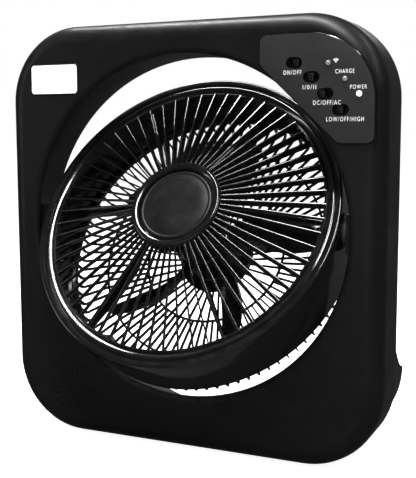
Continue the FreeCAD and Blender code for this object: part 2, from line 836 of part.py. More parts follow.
def switches():
    """Four slide switches: a knob each, on cases that are soldered to the control board."""
    face = "panel_plate - panel_proud + fit_gap"
    cases = []
    for label, across, up, place in SWITCHES:
        middle = f"{across} + ({place}) * switch_travel"
        cap = box(label + "_cap", (f"{middle} - knob_length / 2", f"{middle} + knob_length / 2"),
                  ("0 - panel_proud - knob_proud", face),
                  (f"{up} - knob_width / 2", f"{up} + knob_width / 2"))
        stem = box(label + "_stem", (f"{middle} - knob_stem / 2", f"{middle} + knob_stem / 2"),
                   (face, f"{face} + 3"), (f"{up} - knob_stem / 2", f"{up} + knob_stem / 2"))
        node(fuse(label, cap, stem), label)
        case = box(label + "_case", (f"{across} - switch_case_half", f"{across} + switch_case_half"),
                   (f"{face} + fit_gap", "board_depth - fit_gap"),
                   (f"{up} - switch_case_side", f"{up} + switch_case_side"))
        way = box(label + "_way",
                  (f"{across} - switch_travel - knob_stem / 2 - fit_gap",
                   f"{across} + switch_travel + knob_stem / 2 + fit_gap"),
                  ("0", f"{face} + 3 + fit_gap"),
                  (f"{up} - knob_stem / 2 - fit_gap", f"{up} + knob_stem / 2 + fit_gap"))
        cases.append(cut(label + "_base", case, way))
    node(group("switch_cases", *cases), "switch_cases")
    for label, across, up in LIGHTS:
        dome = DOC.addObject("Part::Sphere", label + "_dome")
        bind(dome, "Radius", "led_radius")
        move(dome, across, "0 - panel_proud", up)
        stem = rod(label + "_body", "led_radius", "board_depth + panel_proud - fit_gap", "y", across,
                   "0 - panel_proud", up)
        node(fuse(label, dome, stem), label)
    board = panel_outline("board_blank", "(0 - wall - 6)", "board_depth", "board_depth + board_thickness")
    node(group("control_board", board), "control_board")
    posts = []
    spots = [("panel_left + 20", "panel_top - 12"), ("panel_right - 13", "panel_low + 14")]
    for place, (across, up) in enumerate(spots):
        posts.append(rod(f"board_post{place}", "board_post_radius",
                         "board_depth - panel_plate + panel_proud", "y", across,
                         "panel_plate - panel_proud", up))
    node(group("board_posts", *posts), "board_posts")


# Night light and loudspeaker --------------------------------------------------------------------

def night_light():
    """The lens, its reflector tray and the lamp board behind it."""
    lens = light_block("lens_block", "0", "0 - light_proud", "light_depth - 1")
    hollow = light_block("lens_hollow", "(0 - lens_wall)", "lens_wall", "light_depth")
    node(cut("light_lens", lens, hollow), "light_lens")
    tray = light_block("tray_block", "(0 - lens_wall - fit_gap)", "3", "light_depth - 1")
    dish = light_block("tray_hollow", "(0 - lens_wall - fit_gap - 1.2)", "2", "light_depth - 3")
    node(cut("light_reflector", tray, dish), "light_reflector")
    board = light_block("light_board", "0", "light_depth - 1 + fit_gap",
                        "light_depth - 1 + fit_gap + board_thickness")
    node(group("lamp_board", board), "lamp_board")
    lamps = []
    middle = "(light_left + light_right) / 2"
    for column in (-1.5, -0.5, 0.5, 1.5):
        for side in (-1, 1):
            place = f"{middle} + {column} * lamp_pitch"
            level = f"(light_low + light_high) / 2 + {side} * lamp_pitch / 2"
            lamps.append(rod(f"lamp{len(lamps)}", "lamp_radius", "lamp_length", "y", place,
                             "light_depth - 3 - lamp_length - fit_gap", level))
    node(group("lamp_leds", *lamps), "lamp_leds")


def loudspeaker():
    """The driver behind the sound holes: basket, cone and magnet."""
    basket = turned("speaker_basket", [
        ("magnet_radius - 4", "speaker_basket_depth"),
        ("magnet_radius", "speaker_basket_depth"),
        ("speaker_radius - 3", "2"),
        ("speaker_radius", "2"),
        ("speaker_radius", "0"),
        ("speaker_radius - 5", "0"),
        ("magnet_radius - 4", "speaker_basket_depth - 2.5"),
    ])
    spot = ("speaker_x", "wall + fit_gap", "speaker_height")
    node(move(basket, *spot), "speaker_basket")
    cone = turned("speaker_cone", [
        ("0", "speaker_basket_depth - 5"),
        ("7", "speaker_basket_depth - 5"),
        ("speaker_radius - 7.5", "1"),
        ("speaker_radius - 7.5", "0.2"),
        ("0", "speaker_basket_depth - 6.5"),
    ])
    node(move(cone, *spot), "speaker_cone")
    magnet = rod("speaker_magnet", "magnet_radius", "magnet_length", "y", "speaker_x",
                 "wall + fit_gap + speaker_basket_depth", "speaker_height")
    node(magnet, "speaker_magnet")


# Side pivots --------------------------------------------------------------------------------------

def side_span(low, high, sign):
    """A stretch across the fan on one side, from two distances from the middle."""
    return (low, high) if sign > 0 else (f"0 - ({high})", f"0 - ({low})")


def side_rod(name, radius, low, high, sign):
    """A bar along the tilt axis on one side, drawn about the pivot."""
    start = low if sign > 0 else f"0 - ({high})"
    return rod(name, radius, f"({high}) - ({low})", "x", start)


def pivots():
    """Brackets in the casing, hollow pivot pins on the head and the washers between them."""
    washers = []
    screws = []
    for side, sign in (("right", 1), ("left", -1)):
        block = box(side + "_bracket_block", side_span("bracket_face", "bracket_end", sign),
                    ("bracket_front", "bracket_back"),
                    ("pivot_height - bracket_half", "pivot_height + bracket_half"))
        bore = rod(side + "_bore", "pin_radius + running_gap", "bracket_end", "x",
                   "0" if sign > 0 else "0 - bracket_end - 1", "pivot_depth", "pivot_height")
        bind(bore, "Height", "bracket_end + 1")
        node(cut(side + "_pivot_bracket", block, bore), side + "_pivot_bracket")
        shank = side_rod(side + "_pin_shank", "pin_radius", "barrel_radius - barrel_wall - 2", "pin_end",
                         sign)
        flange = side_rod(side + "_pin_flange", "pin_flange_radius",
                          "barrel_radius - barrel_wall - fit_gap * 3 - pin_flange_length",
                          "barrel_radius - barrel_wall - fit_gap * 3", sign)
        hole = side_rod(side + "_pin_bore", "pin_bore", "barrel_radius - 20", "pin_end + 1", sign)
        node(on_head(cut(side + "_pivot_pin", fuse(side + "_pin_solid", shank, flange), hole)),
             side + "_pivot_pin")
        skin = side_rod(side + "_washer_skin", "washer_radius", "barrel_radius + fit_gap", "washer_end", sign)
        eye = side_rod(side + "_washer_eye", "pin_radius + running_gap", "barrel_radius", "washer_end + 1",
                       sign)
        washers.append(cut(side + "_washer", skin, eye))
        for level in (-1, 1):
            screws.append(rod(f"{side}_bracket_screw{level + 1}", "screw_head_radius", "screw_head_length",
                              "y", f"{sign} * (bracket_face + 8.5)", "bracket_back",
                              f"pivot_height + {level} * bracket_half * 0.7"))
    node(on_head(group("friction_washers", *washers)), "friction_washers")
    node(group("bracket_screws", *screws), "bracket_screws")


# Tilting head ---------------------------------------------------------------------------------------

def barrel():
    """The head's round barrel with a hole on each side for the pivot pins."""
    wall = turned("barrel_wall_ring", [
        ("barrel_radius - barrel_wall", "bezel_length - bezel_front + fit_gap"),
        ("barrel_radius", "bezel_length - bezel_front + fit_gap"),
        ("barrel_radius", "0"),
        ("barrel_radius - 1", "barrel_back"),
        ("barrel_radius - 1 - barrel_wall", "barrel_back"),
        ("barrel_radius - barrel_wall", "0"),
    ])
    holes = side_rod("barrel_holes", "pin_radius + running_gap", "0 - barrel_radius - 5",
                     "barrel_radius + 5", 1)
    node(on_head(cut("barrel", wall, holes)), "barrel")


def bezel():
    """The stepped front bezel that closes the barrel."""
    front = "0 - bezel_front"
    profile = [
        ("bezel_inner", f"{front} + 7"),
        ("bezel_inner", f"{front} + 5"),
        ("bezel_inner + 4.5", f"{front} + 1.2"),
        ("bezel_inner + 6.5", f"{front} + 1.2"),
        ("bezel_inner + 7.2", f"{front} + 2.4"),
        ("bezel_inner + 8.6", f"{front} + 2.4"),
        ("bezel_inner + 9.4", f"{front} + 0.6"),
        ("bezel_radius - 1.5", front),
        ("bezel_radius", f"{front} + 1.5"),
        ("bezel_radius", f"{front} + bezel_length"),
        ("bezel_radius - 4", f"{front} + bezel_length"),
        ("bezel_radius - 4", f"{front} + 7"),
    ]
    node(on_head(turned("front_bezel", profile)), "front_bezel")


def fin_section(body, name, radius, front):
    """One leaning cross-section of a grille fin, at a radius along local Z."""
    slide = "fin_depth * tan(fin_lean)"
    half = "fin_thickness / 2"
    points = [
        (f"0 - {half} - {slide}", front),
        (f"{half} - {slide}", front),
        (half, f"{front} + fin_depth"),
        (f"0 - {half}", f"{front} + fin_depth"),
    ]
    return outline(body, name, "XY_Plane", points, radius)


def spread(body, feature, count):
    """Repeat a feature evenly about the head's axis."""
    pattern = body.newObject("PartDesign::PolarPattern", feature.Name + "_ring")
    pattern.Originals = [feature]
    pattern.Axis = (origin_axis(body), [""])
    pattern.Angle = 360
    bind(pattern, "Occurrences", count)
    body.Tip = pattern
    return pattern


def origin_axis(body):
    """The body's own front-to-back axis."""
    return origin_plane(body, "Y_Axis")


def front_grille():
    """A domed guard: a rim, a raised hub ring, leaning radial fins and a few deeper ribs between them."""
    rim_front = "0 - grille_rim_front"
    hub_front = "0 - hub_ring_front"
    body = turned("front_guard", [
        ("hub_ring_radius - hub_ring_width", hub_front + " + 1.5"),
        ("hub_ring_radius - hub_ring_width + 1.5", hub_front),
        ("hub_ring_radius - 3", hub_front),
        ("hub_ring_radius", hub_front + " + 3"),
        ("hub_ring_radius", hub_front + " + hub_ring_depth"),
        ("hub_ring_radius - hub_ring_width", hub_front + " + hub_ring_depth"),
    ])
    fin = body.newObject("PartDesign::AdditiveLoft", "front_fin")
    inner = fin_section(body, "fin_inner", "hub_ring_radius - 2", hub_front + " + 3")
    outer = fin_section(body, "fin_outer", "grille_rim_radius - 1", rim_front)
    fin.Profile = inner
    fin.Sections = [outer]
    fin.Ruled = True
    body.Tip = fin
    spread(body, fin, "fin_count")
    ribs = body.newObject("PartDesign::Pad", "deep_rib")
    ribs.Profile = outline(body, "deep_rib_sketch", "YZ_Plane", [
        (hub_front + " + 6", "hub_ring_radius - 2"),
        (hub_front + " + hub_ring_depth - 1", "hub_ring_radius - 2"),
        ("deep_rib_back - 6", "hub_ring_radius + 24"),
        ("deep_rib_back", "hub_ring_radius + 50"),
        ("deep_rib_back", "grille_rim_radius - 1"),
        (rim_front + " + 3", "grille_rim_radius - 1"),
    ], "0 - fin_thickness / 2")
    bind(ribs, "Length", "fin_thickness")
    body.Tip = ribs
    spread(body, ribs, "deep_rib_count")
    rim = outline(body, "front_rim", "XY_Plane", [
        ("grille_rim_radius - grille_rim_width", rim_front),
        ("grille_rim_radius", rim_front),
        ("grille_rim_radius", f"{rim_front} + grille_rim_depth"),
        ("grille_rim_radius - grille_rim_width", f"{rim_front} + grille_rim_depth"),
    ])
    turn = body.newObject("PartDesign::Revolution", "front_rim_turn")
    turn.Profile = rim
    turn.ReferenceAxis = (rim, ["V_Axis"])
    turn.Angle = 360
    body.Tip = turn
    node(on_head(body, "deep_rib_first"), "front_grille")
    cap = turned("hub_cap", [
        ("0", "0 - cap_front"),
        ("cap_radius - 2", "0 - cap_front + 0.8"),
        ("cap_radius", "0 - cap_front + 2.4"),
        ("cap_radius", "0 - cap_front + cap_thickness + 2.4"),
        ("0", "0 - cap_front + cap_thickness + 2.4"),
    ])
    node(on_head(cap), "hub_cap")


def rear_grille():
    """The rear guard: a rim inside the barrel, ribs that run back and then in, rings and a disc."""
    back = "rear_grille_back"
    body = turned("rear_guard", [
        ("0", "rear_disc_back - rear_disc_thickness"),
        ("rear_disc_radius", "rear_disc_back - rear_disc_thickness"),
        ("rear_disc_radius", "rear_disc_back"),
        ("0", "rear_disc_back"),
    ])
    half = "rear_rib_thickness / 2"
    stretches = [
        ("short_rib", "rear_rib_count", [
            ("barrel_back - 4", "rear_rim_radius - rear_rim_width + 1"),
            ("barrel_back + 1", "rear_rim_radius - 0.5"),
            (back + " - 3", "rear_rim_radius - 0.5"),
            (back, "rear_rim_radius - 4.5"),
            (back, "rear_step_radius"),
            (back + " - rear_rib_depth", "rear_step_radius"),
            (back + " - rear_rib_depth", "rear_rim_radius - 1.5 - rear_rib_depth"),
        ]),
        ("long_rib", "rear_rib_count", [
            (back, "rear_step_radius + 1"),
            ("rear_ring_back", "rear_ring_radius"),
            ("rear_ring_back - rear_rib_depth", "rear_ring_radius"),
            (back + " - rear_rib_depth", "rear_step_radius + 1"),
        ]),
        ("inner_rib", "rear_rib_count / 2", [
            ("rear_ring_back", "rear_ring_radius"),
            ("rear_disc_back", "rear_disc_radius - 1"),
            ("rear_disc_back - rear_disc_thickness", "rear_disc_radius - 1"),
            ("rear_ring_back - rear_rib_depth", "rear_ring_radius"),
        ]),
    ]
    for name, count, points in reversed(stretches):
        sketch = outline(body, name + "_sketch", "YZ_Plane", points, f"0 - {half}")
        rib = body.newObject("PartDesign::Pad", name)
        rib.Profile = sketch
        bind(rib, "Length", "rear_rib_thickness")
        body.Tip = rib
        spread(body, rib, count)
        if name == "inner_rib":
            add_ring(body, "middle_ring", "rear_ring_radius", "rear_ring_back")
        elif name == "long_rib":
            add_ring(body, "step_ring", "rear_step_radius", back)
    rim = outline(body, "rear_rim", "XY_Plane", [
        ("rear_rim_radius - rear_rim_width", "barrel_back - 5"),
        ("rear_rim_radius", "barrel_back - 5"),
        ("rear_rim_radius", "barrel_back + 1"),
        ("rear_rim_radius - rear_rim_width", "barrel_back + 1"),
    ])
    turn = body.newObject("PartDesign::Revolution", "rear_rim_turn")
    turn.Profile = rim
    turn.ReferenceAxis = (rim, ["V_Axis"])
    turn.Angle = 360
    body.Tip = turn
    node(on_head(body), "rear_grille")
    screws = []
    for turn in range(4):
        angle = f"(floor(rear_rib_count / 8 * {2 * turn + 1}) + 0.5) * 360 / rear_rib_count"
        away = "(rear_rim_radius - rear_rim_width / 2)"
        screws.append(rod(f"guard_screw{turn}", "rear_rim_width * 0.45", "1.6", "y",
                          f"{away} * cos({angle})", "barrel_back + 1", f"{away} * sin({angle})"))
    node(on_head(group("guard_screws", *screws)), "guard_screws")


def add_ring(body, name, radius, back):
    """One ring of the rear guard at a radius and a depth."""
    ring = outline(body, name + "_sketch", "XY_Plane", [
        (f"{radius} - rear_ring_width / 2", f"{back} - rear_ring_depth"),
        (f"{radius} + rear_ring_width / 2", f"{back} - rear_ring_depth"),
        (f"{radius} + rear_ring_width / 2", f"{back} - 0.4"),
        (f"{radius} - rear_ring_width / 2", f"{back} - 0.4"),
    ])
    turn = body.newObject("PartDesign::Revolution", name)
    turn.Profile = ring
    turn.ReferenceAxis = (ring, ["V_Axis"])
    turn.Angle = 360
    body.Tip = turn


def motor():
    """The motor on the rear guard's disc, and everything on its shaft."""
    back = "rear_disc_back - rear_disc_thickness"
    can = turned("motor_can", [
        ("bearing_radius + running_gap", "motor_front"),
        ("motor_radius - 2", "motor_front"),
        ("motor_radius", "motor_front + 2"),
        ("motor_radius", back + " - 2.3"),
        ("motor_radius - motor_wall", back + " - 2.3"),
        ("motor_radius - motor_wall", "motor_front + motor_wall"),
        ("bearing_radius + 2", "motor_front + motor_wall"),
        ("bearing_radius + 2", "motor_front + bearing_length"),
        ("bearing_radius + running_gap", "motor_front + bearing_length"),
    ])
    node(on_head(can), "motor_can")
    plate = turned("motor_end_plate", [
        ("bearing_radius + running_gap", back + " - bearing_length - 0.2"),
        ("bearing_radius + 2", back + " - bearing_length - 0.2"),
        ("bearing_radius + 2", back + " - 2"),
        ("motor_radius", back + " - 2"),
        ("motor_radius", back + " - 0.2"),
        ("bearing_radius + running_gap", back + " - 0.2"),
    ])
    node(on_head(plate), "motor_end_plate")
    inner = "shaft_radius + running_gap"
    node(on_head(tube("front_bearing", "bearing_radius", inner, "bearing_length", "y", "0",
                      "motor_front", "0")), "front_bearing")
    node(on_head(tube("rear_bearing", "bearing_radius", inner, "bearing_length - 0.4", "y", "0",
                      back + " - bearing_length", "0")), "rear_bearing")
    node(on_head(tube("motor_magnets", "motor_radius - motor_wall - fit_gap", "motor_radius - 6", "14", "y",
                      "0", "motor_front + 7", "0")), "motor_magnets")
    node(on_head(rod_in_head("motor_shaft", "shaft_radius", "shaft_front", back + " - 0.6")),
         "motor_shaft")
    node(on_head(tube("motor_armature", "motor_radius - 7", "shaft_radius", "12", "y", "0",
                      "motor_front + 8", "0")), "motor_armature")
    node(on_head(tube("blade_nut", "nut_radius", "shaft_radius", "nut_length", "y", "0",
                      "impeller_hub_front - nut_length", "0")), "blade_nut")
    screws = []
    for turn in range(4):
        angle = f"45 + {turn} * 90"
        screws.append(rod(f"motor_screw{turn}", "screw_head_radius", "screw_head_length", "y",
                          f"(motor_radius - 8) * cos({angle})", "rear_disc_back",
                          f"(motor_radius - 8) * sin({angle})"))
    node(on_head(group("motor_screws", *screws)), "motor_screws")


def rod_in_head(name, radius, front, back):
    """A bar along the head's axis between two depths."""
    return group(name, rod(name + "_bar", radius, f"({back}) - ({front})", "y", "0", front, "0"))


BLADE_STATIONS = [
    # share of the way from hub to tip, half run around, half rise front to back, sweep around
    ("0", "6", "10.2", "0"),
    ("0.25", "12.6", "17.6", "(0 - 1.7)"),
    ("0.5", "16.6", "17.7", "1.6"),
    ("0.75", "15.7", "11.5", "9.9"),
    ("1", "6.7", "2.8", "23.2"),
]


def impeller():
    """Five swept, pitched blades on a cup-shaped hub that covers the motor."""
    body = turned("impeller_body", [
        ("shaft_radius", "impeller_hub_front"),
        ("impeller_hub_radius - 6", "impeller_hub_front"),
        ("impeller_hub_radius", "impeller_hub_front + 6"),
        ("impeller_hub_radius", "impeller_hub_back"),
        ("impeller_hub_radius - impeller_hub_wall", "impeller_hub_back"),
        ("impeller_hub_radius - impeller_hub_wall", "impeller_hub_front + impeller_hub_wall + 5"),
        ("impeller_hub_radius - 8", "impeller_hub_front + impeller_hub_wall"),
        ("shaft_radius + 5", "impeller_hub_front + impeller_hub_wall"),
        ("shaft_radius + 5", "impeller_hub_front + 10"),
        ("shaft_radius", "impeller_hub_front + 10"),
    ])
    start = "(impeller_hub_radius - 2)"
    sections = []
    for place, (share, run, rise, sweep) in enumerate(BLADE_STATIONS):
        radius = f"{start} + (blade_tip_radius - {start}) * {share}"
        thick = "blade_thickness / 2"
        bulge = (f"{sweep} - {rise} * blade_camber", f"blade_middle + {run} * blade_camber")
        points = [
            (f"{sweep} - {run}", f"blade_middle - {rise} - {thick}"),
            (bulge[0], f"{bulge[1]} - {thick}"),
            (f"{sweep} + {run}", f"blade_middle + {rise} - {thick}"),
            (f"{sweep} + {run}", f"blade_middle + {rise} + {thick}"),
            (bulge[0], f"{bulge[1]} + {thick}"),
            (f"{sweep} - {run}", f"blade_middle - {rise} + {thick}"),
        ]
        sections.append(outline(body, f"blade_section{place}", "XY_Plane", points, radius))
    blade = body.newObject("PartDesign::AdditiveLoft", "blade")
    blade.Profile = sections[0]
    blade.Sections = sections[1:]
    blade.Ruled = True
    body.Tip = blade
    spread(body, blade, "blade_count")
    node(on_head(body, "blade_phase"), "impeller")


front_shell()
rear_shell()
shell_screws()
rubber_feet()
battery()
supply()
control_panel()
switches()
night_light()
loudspeaker()
pivots()
barrel()
bezel()
front_grille()
rear_grille()
motor()
impeller()
DOC.recompute()

for item in DOC.Objects:
    if "Invalid" in item.State or "Error" in item.State:
        raise RuntimeError(f"{item.Name} failed: {item.getStatusString()}")
os.makedirs("parts", exist_ok=True)
for item in EXPORTS:
    shape = item.Shape
    if shape.isNull() or not shape.isValid():
        raise RuntimeError(f"{item.Label} has no valid shape")
    shape.exportStep(os.path.join("parts", item.Label + ".step"))
    print(f"{item.Label}: {len(shape.Solids)} solids, {shape.Volume / 1000:.1f} cm3")
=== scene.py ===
import json
import math

import bpy
from mathutils import Matrix, Vector


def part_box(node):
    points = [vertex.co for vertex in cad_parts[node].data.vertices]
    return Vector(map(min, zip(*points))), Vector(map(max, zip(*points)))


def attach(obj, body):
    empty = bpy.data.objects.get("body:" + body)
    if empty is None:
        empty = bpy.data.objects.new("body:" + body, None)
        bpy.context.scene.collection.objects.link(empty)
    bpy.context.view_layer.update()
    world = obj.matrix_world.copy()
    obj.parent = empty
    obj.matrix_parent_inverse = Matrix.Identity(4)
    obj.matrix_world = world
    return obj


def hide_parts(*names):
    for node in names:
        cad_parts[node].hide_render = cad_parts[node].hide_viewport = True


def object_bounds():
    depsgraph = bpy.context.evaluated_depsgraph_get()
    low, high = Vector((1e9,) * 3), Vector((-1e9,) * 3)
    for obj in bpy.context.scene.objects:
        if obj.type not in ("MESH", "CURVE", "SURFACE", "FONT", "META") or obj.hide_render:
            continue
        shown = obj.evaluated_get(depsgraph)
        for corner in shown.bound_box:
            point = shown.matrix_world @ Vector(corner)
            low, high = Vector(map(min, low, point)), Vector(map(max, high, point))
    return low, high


# A rechargeable box fan: a round head tilts inside a rounded-square casing. Metres, +Z up, and the
# front faces -Y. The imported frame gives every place, and this script adds the finished surfaces.

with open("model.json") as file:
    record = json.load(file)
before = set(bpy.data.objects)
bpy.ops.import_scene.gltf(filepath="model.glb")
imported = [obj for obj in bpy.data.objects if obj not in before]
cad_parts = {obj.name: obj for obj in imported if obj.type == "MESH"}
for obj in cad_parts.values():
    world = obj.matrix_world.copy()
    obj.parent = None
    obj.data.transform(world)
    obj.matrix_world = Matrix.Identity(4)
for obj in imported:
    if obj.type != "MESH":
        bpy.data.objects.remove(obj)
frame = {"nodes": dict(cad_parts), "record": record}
NODES = frame["nodes"]
CAD_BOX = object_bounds()
MM = 0.001


# Materials ------------------------------------------------------------------------------------

def node(tree, kind, links=None, **settings):
    """Add one shader node: settings go on the node, and links fill its sockets by name."""
    made = tree.nodes.new(kind)
    for name, value in settings.items():
        setattr(made, name, value)
    for name, value in (links or {}).items():
        socket = made.inputs[name]
        if isinstance(value, bpy.types.NodeSocket):
            tree.links.new(value, socket)
        else:
            socket.default_value = value
    return made


def group(name, inputs, outputs):
    """Start a shader node group with named number, colour and vector sockets."""
    tree = bpy.data.node_groups.new(name, "ShaderNodeTree")
    for label, (kind, value) in inputs.items():
        socket = tree.interface.new_socket(label, in_out="INPUT", socket_type=kind)
        if value is not None:
            socket.default_value = value
    for label, kind in outputs.items():
        tree.interface.new_socket(label, in_out="OUTPUT", socket_type=kind)
    return tree, tree.nodes.new("NodeGroupInput"), tree.nodes.new("NodeGroupOutput")


def ramp(tree, value, low, high, to_low, to_high):
    """Map a value smoothly from one range to another."""
    return node(tree, "ShaderNodeMapRange", {
        "Value": value, "From Min": low, "From Max": high, "To Min": to_low, "To Max": to_high,
    }, interpolation_type="SMOOTHSTEP").outputs["Result"]


def grain_group():
    """The spark-eroded texture of a mould: fine pits with a slower waviness under them."""
    tree, given, out = group(
        "mould_grain",
        {"Vector": ("NodeSocketVector", None), "Pits per metre": ("NodeSocketFloat", 1500.0),
         "Waviness": ("NodeSocketFloat", 0.3)},
        {"Height": "NodeSocketFloat", "Speckle": "NodeSocketFloat"},
    )
    pits = node(tree, "ShaderNodeTexNoise", {
        "Vector": given.outputs["Vector"], "Scale": given.outputs["Pits per metre"], "Detail": 3.0,
        "Roughness": 0.62,
    })
    waves = node(tree, "ShaderNodeTexNoise", {
        "Vector": given.outputs["Vector"], "Scale": 34.0, "Detail": 2.0,
    })
    swell = node(tree, "ShaderNodeMath", {0: waves.outputs["Fac"], 1: given.outputs["Waviness"]},
                 operation="MULTIPLY")
    height = node(tree, "ShaderNodeMath", {0: pits.outputs["Fac"], 1: swell.outputs[0]},
                  operation="ADD")
    tree.links.new(height.outputs[0], out.inputs["Height"])
    tree.links.new(ramp(tree, pits.outputs["Fac"], 0.35, 0.68, 0.0, 1.0), out.inputs["Speckle"])
    return tree


def handling_group():
    """Roughness of a handled surface: broad smudges, and fine wiping marks across them."""
    tree, given, out = group(
        "handling",
        {"Vector": ("NodeSocketVector", None), "Polished": ("NodeSocketFloat", 0.2),
         "Smudged": ("NodeSocketFloat", 0.35)},
        {"Roughness": "NodeSocketFloat"},
    )
    smudge = node(tree, "ShaderNodeTexNoise", {
        "Vector": given.outputs["Vector"], "Scale": 21.0, "Detail": 4.0, "Roughness": 0.6,
        "Distortion": 0.6,
    })
    stretched = node(tree, "ShaderNodeMapping", {
        "Vector": given.outputs["Vector"], "Rotation": (0.3, 0.2, 0.5),
        "Scale": (60.0, 900.0, 240.0),
    })
    wipes = node(tree, "ShaderNodeTexNoise", {"Vector": stretched.outputs["Vector"], "Scale": 1.0,
                                              "Detail": 2.0})
    share = node(tree, "ShaderNodeMath", {
        0: ramp(tree, smudge.outputs["Fac"], 0.36, 0.66, 0.0, 0.75),
        1: ramp(tree, wipes.outputs["Fac"], 0.45, 0.8, 0.0, 0.5),
    }, operation="ADD")
    share.use_clamp = True
    spread = node(tree, "ShaderNodeMapRange", {
        "Value": share.outputs[0], "To Min": given.outputs["Polished"],
        "To Max": given.outputs["Smudged"],
    })
    tree.links.new(spread.outputs["Result"], out.inputs["Roughness"])
    return tree


def dust_group():
    """Where loose dust settles: a broken film, thicker on what faces up."""
    tree, given, out = group(
        "dust",
        {"Vector": ("NodeSocketVector", None), "Amount": ("NodeSocketFloat", 0.1)},
        {"Mask": "NodeSocketFloat"},
    )
    surface = node(tree, "ShaderNodeNewGeometry")
    facing = node(tree, "ShaderNodeSeparateXYZ", {"Vector": surface.outputs["Normal"]})
    upward = ramp(tree, facing.outputs["Z"], -0.1, 0.9, 0.15, 1.0)
    film = node(tree, "ShaderNodeTexNoise", {
        "Vector": given.outputs["Vector"], "Scale": 70.0, "Detail": 6.0, "Roughness": 0.7,
    })
    broken = node(tree, "ShaderNodeMath", {
        0: ramp(tree, film.outputs["Fac"], 0.4, 0.75, 0.0, 1.0), 1: upward,
    }, operation="MULTIPLY")
    mask = node(tree, "ShaderNodeMath", {0: broken.outputs[0], 1: given.outputs["Amount"]},
                operation="MULTIPLY")
    tree.links.new(mask.outputs[0], out.inputs["Mask"])
    return tree


GRAIN = grain_group()
HANDLING = handling_group()
DUST = dust_group()
DUST_COLOUR = (0.16, 0.155, 0.15, 1.0)


def use(tree, shared, links):
    """Place a shared group in a material and fill its sockets by name."""
    return node(tree, "ShaderNodeGroup", links, node_tree=shared)


def mix(tree, share, first, second):
    """Mix two colours by a mask."""
    made = node(tree, "ShaderNodeMix", data_type="RGBA")
    for name, value in (("Factor", share), ("A", first), ("B", second)):
        socket = next(s for s in made.inputs if s.name == name and s.enabled)
        if isinstance(value, bpy.types.NodeSocket):
            tree.links.new(value, socket)
        else:
            socket.default_value = value
    return next(s for s in made.outputs if s.name == "Result" and s.enabled)


def blank(name, **constants):
    """A material with one Principled shader whose even values sit on its own sockets."""
    material = bpy.data.materials.new(name)
    material.use_nodes = True
    tree = material.node_tree
    shader = tree.nodes["Principled BSDF"]
    for label, value in constants.items():
        shader.inputs[label.replace("_", " ")].default_value = value
    place = node(tree, "ShaderNodeTexCoord").outputs["Object"]
    return material, tree, shader, place


def grey(level):
    """An opaque grey."""
    return (level, level, level, 1.0)


def darkened(colour, share):
    """A colour with its light cut down to a share."""
    return tuple(share * channel for channel in colour[:3]) + (1.0,)


def dress(tree, shader, colour, roughness, height=None, depth=0.0):
    """Link a colour, a roughness and, where there is one, a fine relief to a material's shader."""
    tree.links.new(colour, shader.inputs["Base Color"])
    tree.links.new(roughness, shader.inputs["Roughness"])
    if height is not None:
        bump = node(tree, "ShaderNodeBump", {"Strength": 1.0, "Distance": depth, "Height": height})
        tree.links.new(bump.outputs["Normal"], shader.inputs["Normal"])


def plastic(name, dark, light, polished, smudged, pits, depth, waviness=0.3, dust=0.06,
            **constants):
    """Moulded plastic: mould grain in its height and colour, handling marks and a little dust."""
    material, tree, shader, place = blank(name, **constants)
    grain = use(tree, GRAIN, {"Vector": place, "Pits per metre": pits, "Waviness": waviness})
    marks = use(tree, HANDLING, {"Vector": place, "Polished": polished, "Smudged": smudged})
    film = use(tree, DUST, {"Vector": place, "Amount": dust})
    speckled = mix(tree, grain.outputs["Speckle"], dark, light)
    dusted = mix(tree, film.outputs["Mask"], speckled, DUST_COLOUR)
    dress(tree, shader, dusted, marks.outputs["Roughness"], grain.outputs["Height"], depth)
    return material


def metal(name, colour, polished, smudged, stretch=(300.0, 300.0, 300.0), depth=0.00001):
    """Bare metal with drawing or turning marks."""
    material, tree, shader, place = blank(name, Metallic=1.0)
    stretched = node(tree, "ShaderNodeMapping", {"Vector": place, "Scale": stretch})
    marks = node(tree, "ShaderNodeTexNoise", {
        "Vector": stretched.outputs["Vector"], "Scale": 1.0, "Detail": 4.0,
    })
    wear = use(tree, HANDLING, {"Vector": place, "Polished": polished, "Smudged": smudged})
    worn = mix(tree, marks.outputs["Fac"], darkened(colour, 0.72), colour)
    dress(tree, shader, worn, wear.outputs["Roughness"], marks.outputs["Fac"], depth)
    return material


def clear_lens(name, tint, **constants):
    """A lamp's moulded lens, clouded a little inside."""
    material, tree, shader, place = blank(name, **constants)
    cloud = node(tree, "ShaderNodeTexNoise", {"Vector": place, "Scale": 900.0, "Detail": 2.0})
    clouded = mix(tree, cloud.outputs["Fac"], darkened(tint, 0.8), tint)
    marks = use(tree, HANDLING, {"Vector": place, "Polished": 0.12, "Smudged": 0.28})
    dress(tree, shader, clouded, marks.outputs["Roughness"])
    return material


